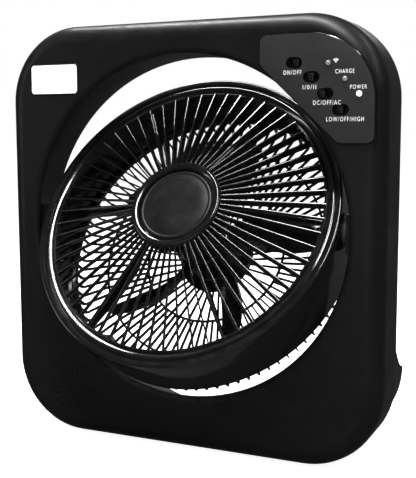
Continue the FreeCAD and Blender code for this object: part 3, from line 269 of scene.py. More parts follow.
# Each finish is named for its slot. A plastic has its darkest and lightest colour, its smoothest
# and roughest gloss, its pits per metre and their depth in metres, its waviness and its dust.
MATERIALS = {
    "casing_black": plastic(
        "casing_plastic", grey(0.0035), grey(0.0055), 0.34, 0.46, 1300.0, 0.000012, 2.0,
        Specular_IOR_Level=0.22),
    "panel_charcoal": plastic(
        "panel_plastic", grey(0.008), grey(0.017), 0.46, 0.56, 1500.0, 0.00006, 0.4),
    "guard_black": plastic(
        "guard_plastic", grey(0.004), grey(0.006), 0.07, 0.16, 900.0, 0.000003, 3.0,
        Specular_IOR_Level=0.65),
    "cap_black": plastic(
        "cap_plastic", grey(0.003), grey(0.005), 0.32, 0.42, 1400.0, 0.00001, 1.0,
        Specular_IOR_Level=0.3),
    "blade_black": plastic(
        "blade_plastic", grey(0.004), grey(0.0065), 0.16, 0.32, 900.0, 0.000005, 4.0),
    "knob_black": plastic(
        "knob_plastic", grey(0.004), grey(0.006), 0.06, 0.12, 1600.0, 0.000004, 1.0),
    "rubber_black": plastic(
        "rubber", grey(0.012), grey(0.02), 0.7, 0.85, 1200.0, 0.00005, 0.5, 0.12),
    "inner_grey": plastic("inner_plastic", grey(0.5), grey(0.6), 0.4, 0.5, 1200.0, 0.00002),
    "board_green": plastic(
        "board_laminate", (0.01, 0.09, 0.035, 1.0), (0.015, 0.13, 0.05, 1.0), 0.3, 0.4, 700.0,
        0.00002),
    "battery_case": plastic(
        "battery_plastic", (0.02, 0.03, 0.07, 1.0), (0.03, 0.04, 0.09, 1.0), 0.4, 0.5, 1200.0,
        0.00002),
    "magnet_dark": plastic("ferrite", grey(0.03), grey(0.05), 0.5, 0.6, 2000.0, 0.00004),
    "paper_cone": plastic("cone_paper", grey(0.003), grey(0.007), 0.75, 0.85, 2600.0, 0.00008),
    "steel": metal("plated_steel", (0.62, 0.62, 0.63, 1.0), 0.2, 0.38, (80.0, 1500.0, 1500.0)),
    "brass": metal("brass", (0.72, 0.55, 0.28, 1.0), 0.2, 0.35),
    "copper_winding": metal(
        "copper_winding", (0.55, 0.24, 0.1, 1.0), 0.3, 0.45, (40.0, 4000.0, 4000.0), 0.0002),
    "lens_white": plastic(
        "lens_plastic", grey(0.72), grey(0.76), 0.22, 0.3, 500.0, 0.00001, 0.5, 0.02,
        Emission_Color=grey(1.0), Emission_Strength=0.5),
    "print_white": plastic(
        "panel_ink", grey(0.86), grey(0.92), 0.45, 0.6, 2500.0, 0.000004, 0.5, 0.03),
    "blackened_steel": metal(
        "blackened_steel", (0.02, 0.02, 0.021, 1.0), 0.3, 0.45, (80.0, 900.0, 900.0)),
    "led_clear": clear_lens("led_lens", grey(0.22), Coat_Weight=0.4),
    "led_lit": clear_lens(
        "led_glowing", grey(0.9), Emission_Color=grey(1.0), Emission_Strength=1.4),
}

for cad in NODES.values():
    for place in cad.material_slots:
        place.material = MATERIALS[place.material.name.split(".")[0]]
NODES["switch_cases"].material_slots[0].material = MATERIALS["blackened_steel"]


# Modelling tools ------------------------------------------------------------------------------

def alone(*pieces):
    """Make these pieces the only selected ones, with the first of them active."""
    bpy.ops.object.select_all(action="DESELECT")
    for piece in pieces:
        piece.select_set(True)
    bpy.context.view_layer.objects.active = pieces[0]


def settle(piece):
    """Apply a closed piece's place, turn and size."""
    alone(piece)
    bpy.ops.object.transform_apply(location=True, rotation=True, scale=True)
    return piece


def start(kind, name, **settings):
    """Add one primitive alone in the selection and open it for editing."""
    bpy.ops.object.select_all(action="DESELECT")
    scale = settings.pop("scale", (1, 1, 1))
    getattr(bpy.ops.mesh, f"primitive_{kind}_add")(**settings)
    piece = bpy.context.object
    piece.name = name
    piece.scale = scale
    settle(piece)
    bpy.ops.object.mode_set(mode="EDIT")
    return piece


def choose(mode, test):
    """Select vertices, edges or faces by a test on their middle and normal, or an edge's run."""
    bpy.ops.mesh.select_mode(type=mode)
    bpy.ops.mesh.select_all(action="DESELECT")
    bpy.ops.object.mode_set(mode="OBJECT")
    mesh = bpy.context.object.data
    if mode == "VERT":
        for point in mesh.vertices:
            point.select = test(point.co, point.normal)
    elif mode == "FACE":
        for face in mesh.polygons:
            face.select = test(face.center, face.normal)
    else:
        for edge in mesh.edges:
            ends = [mesh.vertices[place].co for place in edge.vertices]
            edge.select = test((ends[0] + ends[1]) / 2, ends[1] - ends[0])
    bpy.ops.object.mode_set(mode="EDIT")


def choose_all():
    """Select all of the open piece."""
    bpy.ops.mesh.select_all(action="SELECT")


def extrude(depth):
    """Extrude the selection back by a depth in metres, or forward where it is negative."""
    bpy.ops.mesh.extrude_region_move(TRANSFORM_OT_translate={"value": (0, depth, 0)})


def shift(depth):
    """Move the selection back by a depth in metres, or forward where it is negative."""
    bpy.ops.transform.translate(value=(0, depth, 0))


def round_edges(width, steps, test):
    """Round the edges that a test picks."""
    choose("EDGE", test)
    bpy.ops.mesh.bevel(offset=width, offset_type="OFFSET", segments=steps, profile=0.5,
                       clamp_overlap=True)


def close(piece, sharp=35):
    """Tidy the open piece: merge doubles, face it outwards and smooth it up to an angle."""
    bpy.ops.mesh.select_mode(type="VERT")
    choose_all()
    bpy.ops.mesh.remove_doubles(threshold=0.002 * MM)
    bpy.ops.mesh.normals_make_consistent(inside=False)
    bpy.ops.object.mode_set(mode="OBJECT")
    alone(piece)
    bpy.ops.object.shade_smooth_by_angle(angle=math.radians(sharp))
    return piece


def finish_with(piece, kind, **settings):
    """Add a modifier to a closed piece and apply it."""
    alone(piece)
    modifier = piece.modifiers.new("finish", kind)
    for name, value in settings.items():
        setattr(modifier, name, value)
    bpy.ops.object.modifier_apply(modifier=modifier.name)
    return piece


# The angle in degrees past which an edge stays hard, on a turned piece and on a rib.
TURNED_SHARP = 28
RIB_SHARP = 50


def lathe(name, profile, steps=160, whole=True):
    """Turn (radius, depth) points in millimetres about the head's axis, ring by ring."""
    radius, depth = profile[0]
    piece = start("circle", name, vertices=steps, radius=radius * MM,
                  location=(0, depth * MM, 0), rotation=(math.pi / 2, 0, 0))
    choose_all()
    rest = profile[1:] + ([profile[0]] if whole else [])
    for wide, deep in rest:
        extrude((deep - depth) * MM)
        bpy.ops.transform.resize(value=(wide / radius, 1, wide / radius),
                                 center_override=(0, deep * MM, 0))
        radius, depth = wide, deep
    return close(piece, TURNED_SHARP)


def plug(piece, depths, radius=0.5):
    """Close a turned piece's small holes on the axis by merging their rings."""
    bpy.ops.object.mode_set(mode="EDIT")
    for depth in depths:
        choose("VERT", lambda co, _: math.hypot(co.x, co.z) < (radius + 0.1) * MM
               and abs(co.y - depth * MM) < 0.05 * MM)
        bpy.ops.mesh.merge(type="CENTER")
    return close(piece, TURNED_SHARP)


def ring_copies(piece, count):
    """Repeat the open piece evenly about the head's axis."""
    choose_all()
    bpy.ops.mesh.spin(steps=count - 1, dupli=True, angle=2 * math.pi * (count - 1) / count,
                      center=(0, 0, 0), axis=(0, 1, 0))
    return piece


def joined(name, *shapes):
    """Join shapes into one piece."""
    alone(*shapes)
    bpy.ops.object.join()
    shapes[0].name = name
    return shapes[0]


def to_head(piece, spin=0.0):
    """Carry a piece modelled about the pivot to the tilted head."""
    piece.matrix_world = HEAD @ Matrix.Rotation(spin, 4, "Y")
    return settle(piece)


def done(piece, body, finish, *nodes, slot=None):
    """Give a finished piece its material, its body and the CAD nodes it stands for."""
    piece.data.materials.clear()
    piece.data.materials.append(MATERIALS[finish])
    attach(piece, body)
    if nodes:
        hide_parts(*nodes)
    return piece


JOINTS = {joint["name"]: joint for joint in frame["record"]["behaviour"]["joints"]}
PIVOT = Vector(JOINTS["head_tilt"]["pos_m"])
AXIS = Vector(JOINTS["impeller_spin"]["axis"])
HEAD = Matrix.Translation(PIVOT) @ Matrix.Rotation(math.atan2(-AXIS.z, -AXIS.y), 4, "X")


def reach(name):
    """A head node's inner and outer radius, front and back about the pivot, in millimetres."""
    away = HEAD.inverted()
    points = [away @ point.co for point in NODES[name].data.vertices]
    radii = [math.hypot(point.x, point.z) / MM for point in points]
    depths = [point.y / MM for point in points]
    return min(radii), max(radii), min(depths), max(depths)


# Front guard ----------------------------------------------------------------------------------

BAR_PARKED = 1.0


def bar(name, half, rows, rounding=0.35):
    """A straight rib along local Z from (radius, front, back) rows in millimetres.

    It starts as a cube whose front and back are parked far out, and each row pulls them in.
    """
    low, high = rows[0][0] * MM, rows[-1][0] * MM
    rib = start("cube", name, size=1.0, location=(0, 0, (low + high) / 2),
                scale=(2 * half * MM, 2 * BAR_PARKED, high - low))
    for radius, _, _ in rows[1:-1]:
        choose_all()
        bpy.ops.mesh.bisect(plane_co=(0, 0, radius * MM), plane_no=(0, 0, 1))
    for radius, front, back in rows:
        for side, depth in ((-1, front), (1, back)):
            choose("VERT", lambda co, _: abs(co.z - radius * MM) < 0.01 * MM
                   and co.y * side > BAR_PARKED / 2)
            shift(depth * MM - side * BAR_PARKED)
    if rounding:
        round_edges(rounding * MM, 2,
                    lambda co, run: abs(run.z) > 0.9 * MM and abs(run.x) < 0.01 * MM)
    return rib


# Millimetres, as are the sizes of every piece below.
HUB_RING_WIDTH = 8.2
RIM_SET_BACK = 2.4
FIN_COUNT = 60
FIN_HALF = 0.85
FIN_FRONT = 3
FIN_DEPTH = 6.5
FIN_LEAN = math.radians(15)
FIN_INTO_HUB = 1.6
FIN_INTO_RIM = 0.8
DEEP_RIB_COUNT = 6
DEEP_RIB_FRONT = 6
DEEP_RIB_ROW = 26
FIRST_DEEP_RIB = math.radians(30)


def front_guard():
    """The guard: a rounded rim, a stepped hub ring, and leaning fins with a few deeper ribs."""
    inner, outer, front, back = reach("front_grille")
    hub_out = inner + HUB_RING_WIDTH
    rim_front = reach("front_bezel")[2] + RIM_SET_BACK
    low, high = hub_out - FIN_INTO_HUB, outer - FIN_INTO_RIM
    hub = lathe("guard_hub", [
        (inner + 0.3, front + 12.9), (inner, front + 12.5), (inner, front + 3.6),
        (inner + 0.3, front + 2.2), (inner + 1.0, front + 1.1), (inner + 2.2, front + 0.5),
        (inner + 3.6, front + 0.1), (inner + 4.9, front), (inner + 6.0, front + 0.3),
        (inner + 7.0, front + 1.1), (inner + 7.7, front + 2.2), (hub_out - 0.1, front + 3.6),
        (hub_out, front + 5.2), (hub_out, front + 12.6), (hub_out - 0.4, front + 13),
    ])
    rim = lathe("guard_rim", [
        (outer - 3, rim_front + 9), (outer - 3, rim_front + 1.2), (outer - 2.5, rim_front + 0.4),
        (outer - 1.5, rim_front), (outer - 0.5, rim_front + 0.4), (outer, rim_front + 1.2),
        (outer, rim_front + 9),
    ])
    fins = bar("guard_fins", FIN_HALF, [
        (low, front + FIN_FRONT, front + FIN_FRONT + FIN_DEPTH),
        (high, rim_front, rim_front + FIN_DEPTH),
    ], 0)

    def fin_middle(co):
        out = (co.z / MM - low) / (high - low)
        return front + FIN_FRONT + (rim_front - front - FIN_FRONT) * out + FIN_DEPTH / 2

    choose("VERT", lambda co, _: co.y < fin_middle(co) * MM)
    bpy.ops.transform.translate(value=(-FIN_DEPTH * math.tan(FIN_LEAN) * MM, 0, 0))
    round_edges(0.4 * MM, 2,
                lambda co, run: abs(run.z) > 50 * MM and co.y < fin_middle(co) * MM)
    round_edges(0.3 * MM, 2,
                lambda co, run: abs(run.z) > 50 * MM and co.y > (fin_middle(co) + 3) * MM)
    ring_copies(fins, FIN_COUNT)
    close(fins, RIB_SHARP)
    rib_front = front + DEEP_RIB_FRONT
    slope = (rim_front - rib_front) / (high - low)
    ribs = bar("guard_ribs", FIN_HALF, [
        (low, rib_front, front + 12),
        (low + DEEP_RIB_ROW, rib_front + DEEP_RIB_ROW * slope, back - 6),
        (low + 2 * DEEP_RIB_ROW, rib_front + 2 * DEEP_RIB_ROW * slope, back),
        (high, rim_front + 3, back),
    ])
    ring_copies(ribs, DEEP_RIB_COUNT)
    close(ribs, RIB_SHARP)
    to_head(ribs, FIRST_DEEP_RIB)
    for part in (hub, rim, fins):
        to_head(part)
    done(joined("front_guard", hub, rim, fins, ribs), "head", "guard_black", "front_grille")


def hub_cap():
    """The disc in the hub: a slightly crowned face inside a fine raised rim."""
    _, outer, front, back = reach("hub_cap")
    cap = lathe("cap_disc", [
        (0.5, front + 0.3), (14.0, front + 0.35), (26.0, front + 0.6), (outer - 6.4, front + 1.1),
        (outer - 5.6, front + 1.35), (outer - 5.0, front + 1.3), (outer - 4.5, front + 0.9),
        (outer - 3.6, front + 0.7), (outer - 2.6, front + 0.9), (outer - 1.7, front + 1.5),
        (outer - 0.9, front + 2.3), (outer - 0.4, front + 3.0), (outer - 0.3, front + 4.0),
        (outer - 0.3, back), (0.5, back),
    ], whole=False)
    plug(cap, (front + 0.3, back))
    to_head(cap)
    done(cap, "head", "cap_black", "hub_cap")


def front_bezel():
    """The bezel: an outer lip, a band, two fine grooves and a polished bevel down to the guard."""
    inner, outer, front, back = reach("front_bezel")
    bezel = lathe("bezel_ring", [
        (inner, front + 7), (inner, front + 4.4), (inner + 0.3, front + 3.8),
        (inner + 1.0, front + 3.3), (inner + 4.4, front + 1.5), (inner + 5.0, front + 1.3),
        (inner + 6.0, front + 1.3), (inner + 6.5, front + 1.45), (inner + 6.9, front + 2.2),
        (inner + 7.3, front + 2.3), (inner + 7.6, front + 1.6), (inner + 8.0, front + 1.45),
        (inner + 8.4, front + 1.8), (inner + 8.7, front + 2.2), (inner + 9.0, front + 1.6),
        (inner + 9.5, front + 0.75), (inner + 10.4, front + 0.35), (outer - 2.2, front),
        (outer - 1.2, front + 0.15), (outer - 0.5, front + 0.6), (outer - 0.1, front + 1.3),
        (outer, front + 2.2), (outer, back - 0.3), (outer - 0.3, back), (outer - 4, back),
        (outer - 4, front + 7),
    ], 192)
    to_head(bezel)
    done(bezel, "head", "guard_black", "front_bezel")


# Impeller -------------------------------------------------------------------------------------

BLADE_COUNT = 5
BLADE_PHASE = math.radians(1.9)
BLADE_MIDDLE = 44.8
BLADE_THICKNESS = 2.0
BLADE_CAMBER = 0.4
BLADE_ROWS = [
    # radius, half run around, half rise front to back, sweep around
    (30.0, 5.6, 9.6, 0.0),
    (34.0, 7.0, 11.6, -0.4),
    (44.0, 9.8, 14.9, -1.4),
    (55.0, 12.6, 17.6, -1.7),
    (67.0, 14.9, 18.3, -0.6),
    (79.0, 16.6, 17.7, 1.6),
    (91.0, 16.6, 15.0, 5.2),
    (103.0, 15.7, 11.5, 9.9),
    (115.0, 12.4, 7.6, 16.2),
    (124.0, 8.6, 4.2, 21.6),
    (126.5, 7.0, 2.9, 23.0),
]
ROW_APART = 1.0
COLUMNS_EACH_SIDE = 3


def impeller():
    """A cup-shaped hub and swept blades: one sheet is shaped row by row and then repeated.

    The sheet's rows start far apart, so that each can be picked, turned and carried alone.
    """
    hub = lathe("impeller_hub", [
        (3.0, 27.5), (8.0, 27.0), (26.0, 27.0), (28.6, 27.6), (31.0, 29.2), (32.4, 31.4),
        (33.0, 34.0), (33.0, 60.4), (32.6, 61.0), (31.2, 61.0), (30.8, 60.4), (30.8, 35.0),
        (29.0, 31.0), (25.0, 29.4), (8.2, 29.2), (8.0, 36.8), (3.0, 37.0),
    ], 96)
    rows = len(BLADE_ROWS)
    blades = start("grid", "impeller_blades", x_subdivisions=2 * COLUMNS_EACH_SIDE,
                   y_subdivisions=rows - 1, size=2.0, rotation=(math.pi / 2, 0, 0))
    choose_all()
    bpy.ops.transform.resize(value=(1, 1, (rows - 1) * ROW_APART / 2), center_override=(0, 0, 0))
    bpy.ops.transform.translate(value=(0, 0, (rows + 1) * ROW_APART / 2))
    for column in range(1 - COLUMNS_EACH_SIDE, COLUMNS_EACH_SIDE):
        share = column / COLUMNS_EACH_SIDE
        choose("VERT", lambda co, _: abs(co.x - share) < 0.05)
        shift(BLADE_CAMBER * (1 - share * share))
    for row, (radius, run, rise, sweep) in enumerate(BLADE_ROWS):
        half = math.hypot(run, rise) * MM
        parked = (row + 1) * ROW_APART
        here = (0, 0, parked)
        choose("VERT", lambda co, _: abs(co.z - parked) < 0.2)
        bpy.ops.transform.resize(value=(half, half, 1), center_override=here)
        bpy.ops.transform.rotate(value=-math.atan2(rise, run), orient_axis="Z",
                                 center_override=here)
        bpy.ops.transform.translate(value=(sweep * MM, BLADE_MIDDLE * MM, radius * MM - parked))
    close(blades)
    finish_with(blades, "SUBSURF", levels=2, render_levels=2)
    finish_with(blades, "SOLIDIFY", thickness=BLADE_THICKNESS * MM, offset=0.0)
    finish_with(blades, "BEVEL", width=0.6 * MM, segments=2, limit_method="ANGLE",
                angle_limit=math.radians(50))
    bpy.ops.object.mode_set(mode="EDIT")
    ring_copies(blades, BLADE_COUNT)
    close(blades, 40)
    to_head(blades, BLADE_PHASE)
    to_head(hub)
    done(joined("impeller_fan", hub, blades), "impeller", "blade_black", "impeller")


# Rear guard -----------------------------------------------------------------------------------

REAR_RIB_COUNT = 88
REAR_RIB_HALF = 0.9
REAR_RIB_DEPTH = 3.6
STEP_IN = 35
STEP_BACK = 21.8
MIDDLE_RING = 0.55
DISC_OVER = 1.0


def rear_guard():
    """The domed guard behind: its ribs halve in number at the middle ring and end at a disc."""
    disc, outer, rim_front, back = reach("rear_grille")
    disc += DISC_OVER
    step, step_back = outer - STEP_IN, rim_front + STEP_BACK
    step_front = step_back - REAR_RIB_DEPTH
    middle = step - (step - disc) * MIDDLE_RING
    middle_back = step_back + (back - step_back) * MIDDLE_RING
    middle_front = middle_back - REAR_RIB_DEPTH
    shapes = [lathe("rear_rim", [
        (outer - 4.5, rim_front + 0.4), (outer - 4.1, rim_front), (outer - 0.4, rim_front),
        (outer, rim_front + 0.4), (outer, rim_front + 5.4), (outer - 0.6, rim_front + 6),
        (outer - 3.9, rim_front + 6), (outer - 4.5, rim_front + 5.4),
    ])]
    rib_sets = [
        ("rear_short_ribs", REAR_RIB_COUNT, [
            (step, step_front, step_back), (outer - 5.6, step_front, step_back),
            (outer - 4.2, step_front - 1.2, step_back),
            (outer - 3.6, rim_front + 1, step_back - 0.4),
            (outer - 1.4, rim_front + 1, step_back - 1.8),
            (outer - 0.5, rim_front + 2, step_back - 3.4),
        ]),
        ("rear_long_ribs", REAR_RIB_COUNT, [
            (middle, middle_front, middle_back), (step + 1, step_front, step_back),
        ]),
        ("rear_inner_ribs", REAR_RIB_COUNT // 2, [
            (disc - 1, back - 3, back - 0.2), (middle, middle_front, middle_back),
        ]),
    ]
    for name, count, rows in rib_sets:
        ribs = bar(name, REAR_RIB_HALF, rows)
        ring_copies(ribs, count)
        shapes.append(close(ribs, RIB_SHARP))
    for radius, ring_back in ((step, step_back), (middle, middle_back)):
        shapes.append(lathe("rear_ring", [
            (radius - 1.2, ring_back - 2.6), (radius - 0.8, ring_back - 3.0),
            (radius + 0.8, ring_back - 3.0), (radius + 1.2, ring_back - 2.6),
            (radius + 1.2, ring_back - 0.9), (radius + 0.7, ring_back - 0.4),
            (radius - 0.7, ring_back - 0.4), (radius - 1.2, ring_back - 0.9),
        ]))
    plate = lathe("rear_disc", [
        (0.5, back - 3), (disc - 0.4, back - 3), (disc, back - 2.6), (disc, back - 0.8),
        (disc - 0.3, back - 0.3), (disc - 0.9, back), (disc - 5.0, back), (disc - 5.8, back - 0.6),
        (disc - 7.0, back - 0.8), (disc - 8.0, back - 0.6), (disc - 8.8, back - 0.2),
        (16.0, back - 0.2), (15.0, back - 0.6), (0.5, back - 0.6),
    ], whole=False)
    shapes.append(plug(plate, (back - 3, back - 0.6)))
    for shape in shapes:
        to_head(shape)
    done(joined("rear_guard", *shapes), "head", "guard_black", "rear_grille")


# Control panel --------------------------------------------------------------------------------

# The plate's lower left is cut off by a diagonal, from PANEL_END under its top edge to PANEL_FOOT
# left of its right edge.
PANEL_FOOT = 35.8
PANEL_END = 28.8
PANEL_PLATE = 2.5
PANEL_WALL = 2.6
LARGE_ROUND = 62.0
SMALL_ROUND = 8.0
END_ROUND = 3.4
FOOT_ROUND = 3.6
PANEL_EDGE = 1.8
SLOT_LENGTH = 15.0
SLOT_WIDTH = 10.0
LAMP_HOLE = 2.7
CUTTER_LENGTH = 12
# A hole's flare starts at a depth under the plate's face. Its steps are (length, widening), and
# the last one ends a little clear of the face.
SLOT_FLARE = (0.7, ((0.4, 1.03), (0.3, 1.05), (0.2, 1.07)))
LAMP_FLARE = (0.3, ((0.6, 1.25),))
SWITCHES = {
    # distance of each switch from the panel's right edge and from its top
    "power_switch_knob": (78.3, 27.3),
    "mode_switch_knob": (61.3, 40.7),
    "source_switch_knob": (47.7, 56.2),
    "speed_switch_knob": (32.8, 71.2),
}
LAMP_NAMES = ("wireless_led", "charge_led", "power_led")


def control_panel():
    """The raised panel: a five-sided plate with a polished edge, oval wells and lamp holes. Its
    edge and the walls of its wells are darker than its face, which is painted shade.
    """
    low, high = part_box("control_panel")
    front = low.y
    middle = (low + high) / 2
    end, foot = high.z - PANEL_END * MM, high.x - PANEL_FOOT * MM
    panel = start("plane", "panel_plate", size=1.0, location=(middle.x, front, middle.z),
                  rotation=(math.pi / 2, 0, 0), scale=(high.x - low.x, high.z - low.z, 1))
    across = Vector((foot - low.x, 0, low.z - end))
    choose_all()
    bpy.ops.mesh.bisect(plane_co=(low.x, front, end), plane_no=(-across.z, 0, across.x),
                        clear_inner=True)
    corners = [
        (high.x, high.z, LARGE_ROUND), (low.x, high.z, SMALL_ROUND), (high.x, low.z, SMALL_ROUND),
        (low.x, end, END_ROUND), (foot, low.z, FOOT_ROUND),
    ]
    for right, up, size in corners:
        choose("VERT", lambda co, _: math.hypot(co.x - right, co.z - up) < 0.3 * MM)
        bpy.ops.mesh.bevel(offset=size * MM, affect="VERTICES", profile=0.5,
                           segments=24 if size == LARGE_ROUND else 8)
    bpy.ops.mesh.select_mode(type="FACE")
    choose_all()
    extrude(high.y - front)
    choose_all()
    bpy.ops.mesh.normals_make_consistent(inside=False)
    choose("FACE", lambda co, normal: normal.y > 0.9)
    bpy.ops.mesh.inset(thickness=PANEL_WALL * MM)
    extrude(front + PANEL_PLATE * MM - high.y)
    round_edges(PANEL_EDGE * MM, 4, lambda co, run: co.y < front + 0.1 * MM)
    close(panel, 20)
    cutters = []
    for name, (from_right, from_top) in SWITCHES.items():
        spot = Vector((high.x - from_right * MM, front, high.z - from_top * MM))
        cutters.append(well(name + "_cutter", spot, SLOT_WIDTH / 2, 48, SLOT_FLARE,
                            SLOT_LENGTH - SLOT_WIDTH))
    for name in LAMP_NAMES:
        near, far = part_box(name)
        spot = (near + far) / 2
        spot.y = front
        cutters.append(well(name + "_cutter", spot, LAMP_HOLE, 40, LAMP_FLARE))
    cutter = joined("panel_cutter", *cutters)
    finish_with(panel, "BOOLEAN", object=cutter, operation="DIFFERENCE", solver="EXACT")
    bpy.data.objects.remove(cutter)
    bpy.ops.object.shade_smooth_by_angle(angle=math.radians(20))
    done(panel, "casing", "panel_charcoal", "control_panel")
    # The edge and the walls of the wells and lamp holes take the darker, glossier guard plastic.
    # The gloss is the polished edge; the darker colour is painted shade along the edge and down
    # the wells.
    panel.data.materials.append(MATERIALS["guard_black"])
    for face in panel.data.polygons:
        face.material_index = int(face.normal.y > -0.97)


def well(name, spot, radius, steps, flare, longer=0.0):
    """A cutter for a round or oval hole through the plate, flared where it breaks its face."""
    piece = start("cylinder", name, vertices=steps, radius=radius * MM, depth=CUTTER_LENGTH * MM,
                  location=spot, rotation=(math.pi / 2, 0, 0))
    if longer:
        for side in (-1, 1):
            choose("VERT", lambda co, _: (co.x - spot.x) * side > 0.01 * MM)
            bpy.ops.transform.translate(value=(side * longer / 2 * MM, 0, 0))
    flare_depth, flare_steps = flare
    choose("VERT", lambda co, _: co.y < spot.y)
    shift((CUTTER_LENGTH / 2 + flare_depth) * MM)
    choose("FACE", lambda co, normal: normal.y < -0.9)
    for length, wide in flare_steps:
        extrude(-length * MM)
        bpy.ops.transform.resize(value=(wide, 1, wide), center_override=spot)
    return close(piece)


KNOB_STEM = 3
KNOB_CUTS = (-1.5, -0.9, -0.3, 0.3, 0.9, 1.5)
KNOB_GROOVES = (-1.2, 0.0, 1.2)
GROOVE_DEPTH = 0.5


def switch_knobs():
    """Four slide knobs: one rounded cap with grip grooves on a stem, copied to each switch."""
    low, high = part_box("power_switch_knob")
    home = (low + high) / 2
    cap_back = high.y - KNOB_STEM * MM
    knob = start("cube", "knob_shape", size=1.0, location=(home.x, (low.y + cap_back) / 2, home.z),
                 scale=(high.x - low.x, cap_back - low.y, high.z - low.z))
    for cut in KNOB_CUTS:
        choose_all()
        bpy.ops.mesh.bisect(plane_co=(home.x + cut * MM, 0, 0), plane_no=(1, 0, 0))
    choose("FACE", lambda co, normal: normal.y < -0.9 and any(
        abs(co.x - home.x - groove * MM) < 0.1 * MM for groove in KNOB_GROOVES))
    bpy.ops.mesh.inset(thickness=0.12 * MM)
    shift(GROOVE_DEPTH * MM)
    sides = ((0, low.x), (0, high.x), (2, low.z), (2, high.z))
    round_edges(1.0 * MM, 4, lambda co, run: co.y < low.y + 0.1 * MM and any(
        abs(co[way] - side) < 0.01 * MM for way, side in sides))
    choose("FACE", lambda co, normal: normal.y > 0.9)
    bpy.ops.mesh.inset(thickness=1.0 * MM, use_boundary=True)
    extrude(KNOB_STEM * MM)
    close(knob, 40)
    for name in SWITCHES:
        near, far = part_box(name)
        copy = knob.copy()
        copy.data = knob.data.copy()
        copy.name = name.replace("_knob", "_cap")
        bpy.context.scene.collection.objects.link(copy)
        copy.location = (near + far) / 2 - home
        settle(copy)
        done(copy, name, "knob_black", name)
    bpy.data.objects.remove(knob)


LABELS = [
    # words, middle across, middle up, width, height, all in millimetres
    ("ON/OFF", 119.5, 385.7, 18.0, 4.0),
    ("I/0/II", 136.4, 371.8, 13.0, 4.0),
    ("DC/OFF/AC", 153.5, 357.3, 26.5, 4.0),
    ("LOW/OFF/HIGH", 170.9, 342.0, 35.5, 4.0),
    ("CHARGE", 170.2, 385.5, 18.0, 3.8),
    ("POWER", 183.3, 371.1, 15.6, 3.8),
]
PRINT_RELIEF = 0.06
# The lettering, in its own units before it is fitted to a label's width and height.
LETTER_RELIEF = 0.02
LETTER_THINNING = -0.006
LETTER_SPACING = 1.3
# The wireless sign: arcs about one spot, each reaching as far left as right of straight up.
WIRELESS_SPOT = (161.6, 393.2)
WIRELESS_RADII = (0.55, 2.0, 3.5)
WIRELESS_LINE = 0.85
WIRELESS_HALF_ANGLE = 0.75


def labels():
    """The panel's printing: plain words for the switches and lamps, and arcs for wireless."""
    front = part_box("control_panel")[0].y
    shapes = []
    for words, right, up, width, height in LABELS:
        bpy.ops.object.select_all(action="DESELECT")
        bpy.ops.object.text_add(location=(0, 0, 0))
        text = bpy.context.object
        text.data.body = words
        text.data.extrude = LETTER_RELIEF
        text.data.offset = LETTER_THINNING
        text.data.space_character = LETTER_SPACING
        text.data.resolution_u = 3
        bpy.ops.object.convert(target="MESH")
        corners = [Vector(corner) for corner in text.bound_box]
        wide, tall = corners[6].x - corners[0].x, corners[6].y - corners[0].y
        centre = (corners[0] + corners[6]) / 2
        fitted = (width * MM / wide, height * MM / tall, PRINT_RELIEF * MM / LETTER_RELIEF, 1)
        text.matrix_world = (
            Matrix.Translation((right * MM, front, up * MM)) @ Matrix.Rotation(math.pi / 2, 4, "X")
            @ Matrix.Diagonal(fitted) @ Matrix.Translation((-centre.x, -centre.y, 0)))
        settle(text)
        bpy.ops.object.mode_set(mode="EDIT")
        shapes.append(close(text, 40))
    right, up = (measure * MM for measure in WIRELESS_SPOT)
    for radius in WIRELESS_RADII:
        start_of_arc = (right - radius * math.sin(WIRELESS_HALF_ANGLE) * MM, front,
                        up + radius * math.cos(WIRELESS_HALF_ANGLE) * MM)
        arc = start("plane", "wireless_arc", size=1.0, location=start_of_arc,
                    scale=(WIRELESS_LINE * MM, 2 * PRINT_RELIEF * MM, 1),
                    rotation=(0, -WIRELESS_HALF_ANGLE - math.pi / 2, 0))
        choose_all()
        bpy.ops.mesh.spin(steps=12, angle=-2 * WIRELESS_HALF_ANGLE, center=(right, front, up),
                          axis=(0, 1, 0))
        shapes.append(close(arc, 40))
    done(joined("panel_printing", *shapes), "casing", "print_white", slot="lens_white")


LIGHT_CORNER = 5.0
LIGHT_LIP = 0.9
LIGHT_WALL = 1.8
LENS_CORNER = 3.4
LENS_MARGIN = Vector((1.9, 0, 1.6))
LENS_DEPTH = 3.2


def night_light():
    """The light: a cushion of white plastic with a fine step round it, set in a black frame."""
    low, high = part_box("light_lens")
    black_frame = start("cube", "light_frame", size=1.0, location=(low + high) / 2,
                        scale=high - low)
    round_edges(LIGHT_CORNER * MM, 10, lambda co, run: abs(run.y) > 5 * MM)
    round_edges(0.4 * MM, 3, lambda co, run: abs(co.y - low.y) < 0.02 * MM)
    choose("FACE", lambda co, normal: normal.y < -0.9)
    bpy.ops.mesh.inset(thickness=LIGHT_LIP * MM)
    extrude(2.6 * MM)
    choose("FACE", lambda co, normal: normal.y > 0.9 and co.y > high.y - MM)
    bpy.ops.mesh.inset(thickness=LIGHT_WALL * MM)
    extrude(-6.0 * MM)
    done(close(black_frame, 30), "casing", "casing_black", slot="lens_white")
    low, high = low + LENS_MARGIN * MM, high - LENS_MARGIN * MM
    high.y = low.y + LENS_DEPTH * MM
    lens = start("cube", "night_light", size=1.0, location=(low + high) / 2, scale=high - low)
    round_edges(LENS_CORNER * MM, 10, lambda co, run: abs(run.y) > 2 * MM)
    choose("FACE", lambda co, normal: normal.y < -0.9)
    for margin, depth in ((1.2, 0.4), (0.5, -0.3)):
        bpy.ops.mesh.inset(thickness=margin * MM)
        shift(depth * MM)
    done(close(lens, 30), "casing", "lens_white", "light_lens")


front_guard()
hub_cap()
front_bezel()
impeller()
rear_guard()
control_panel()
switch_knobs()
labels()
night_light()


# Stage ----------------------------------------------------------------------------------------

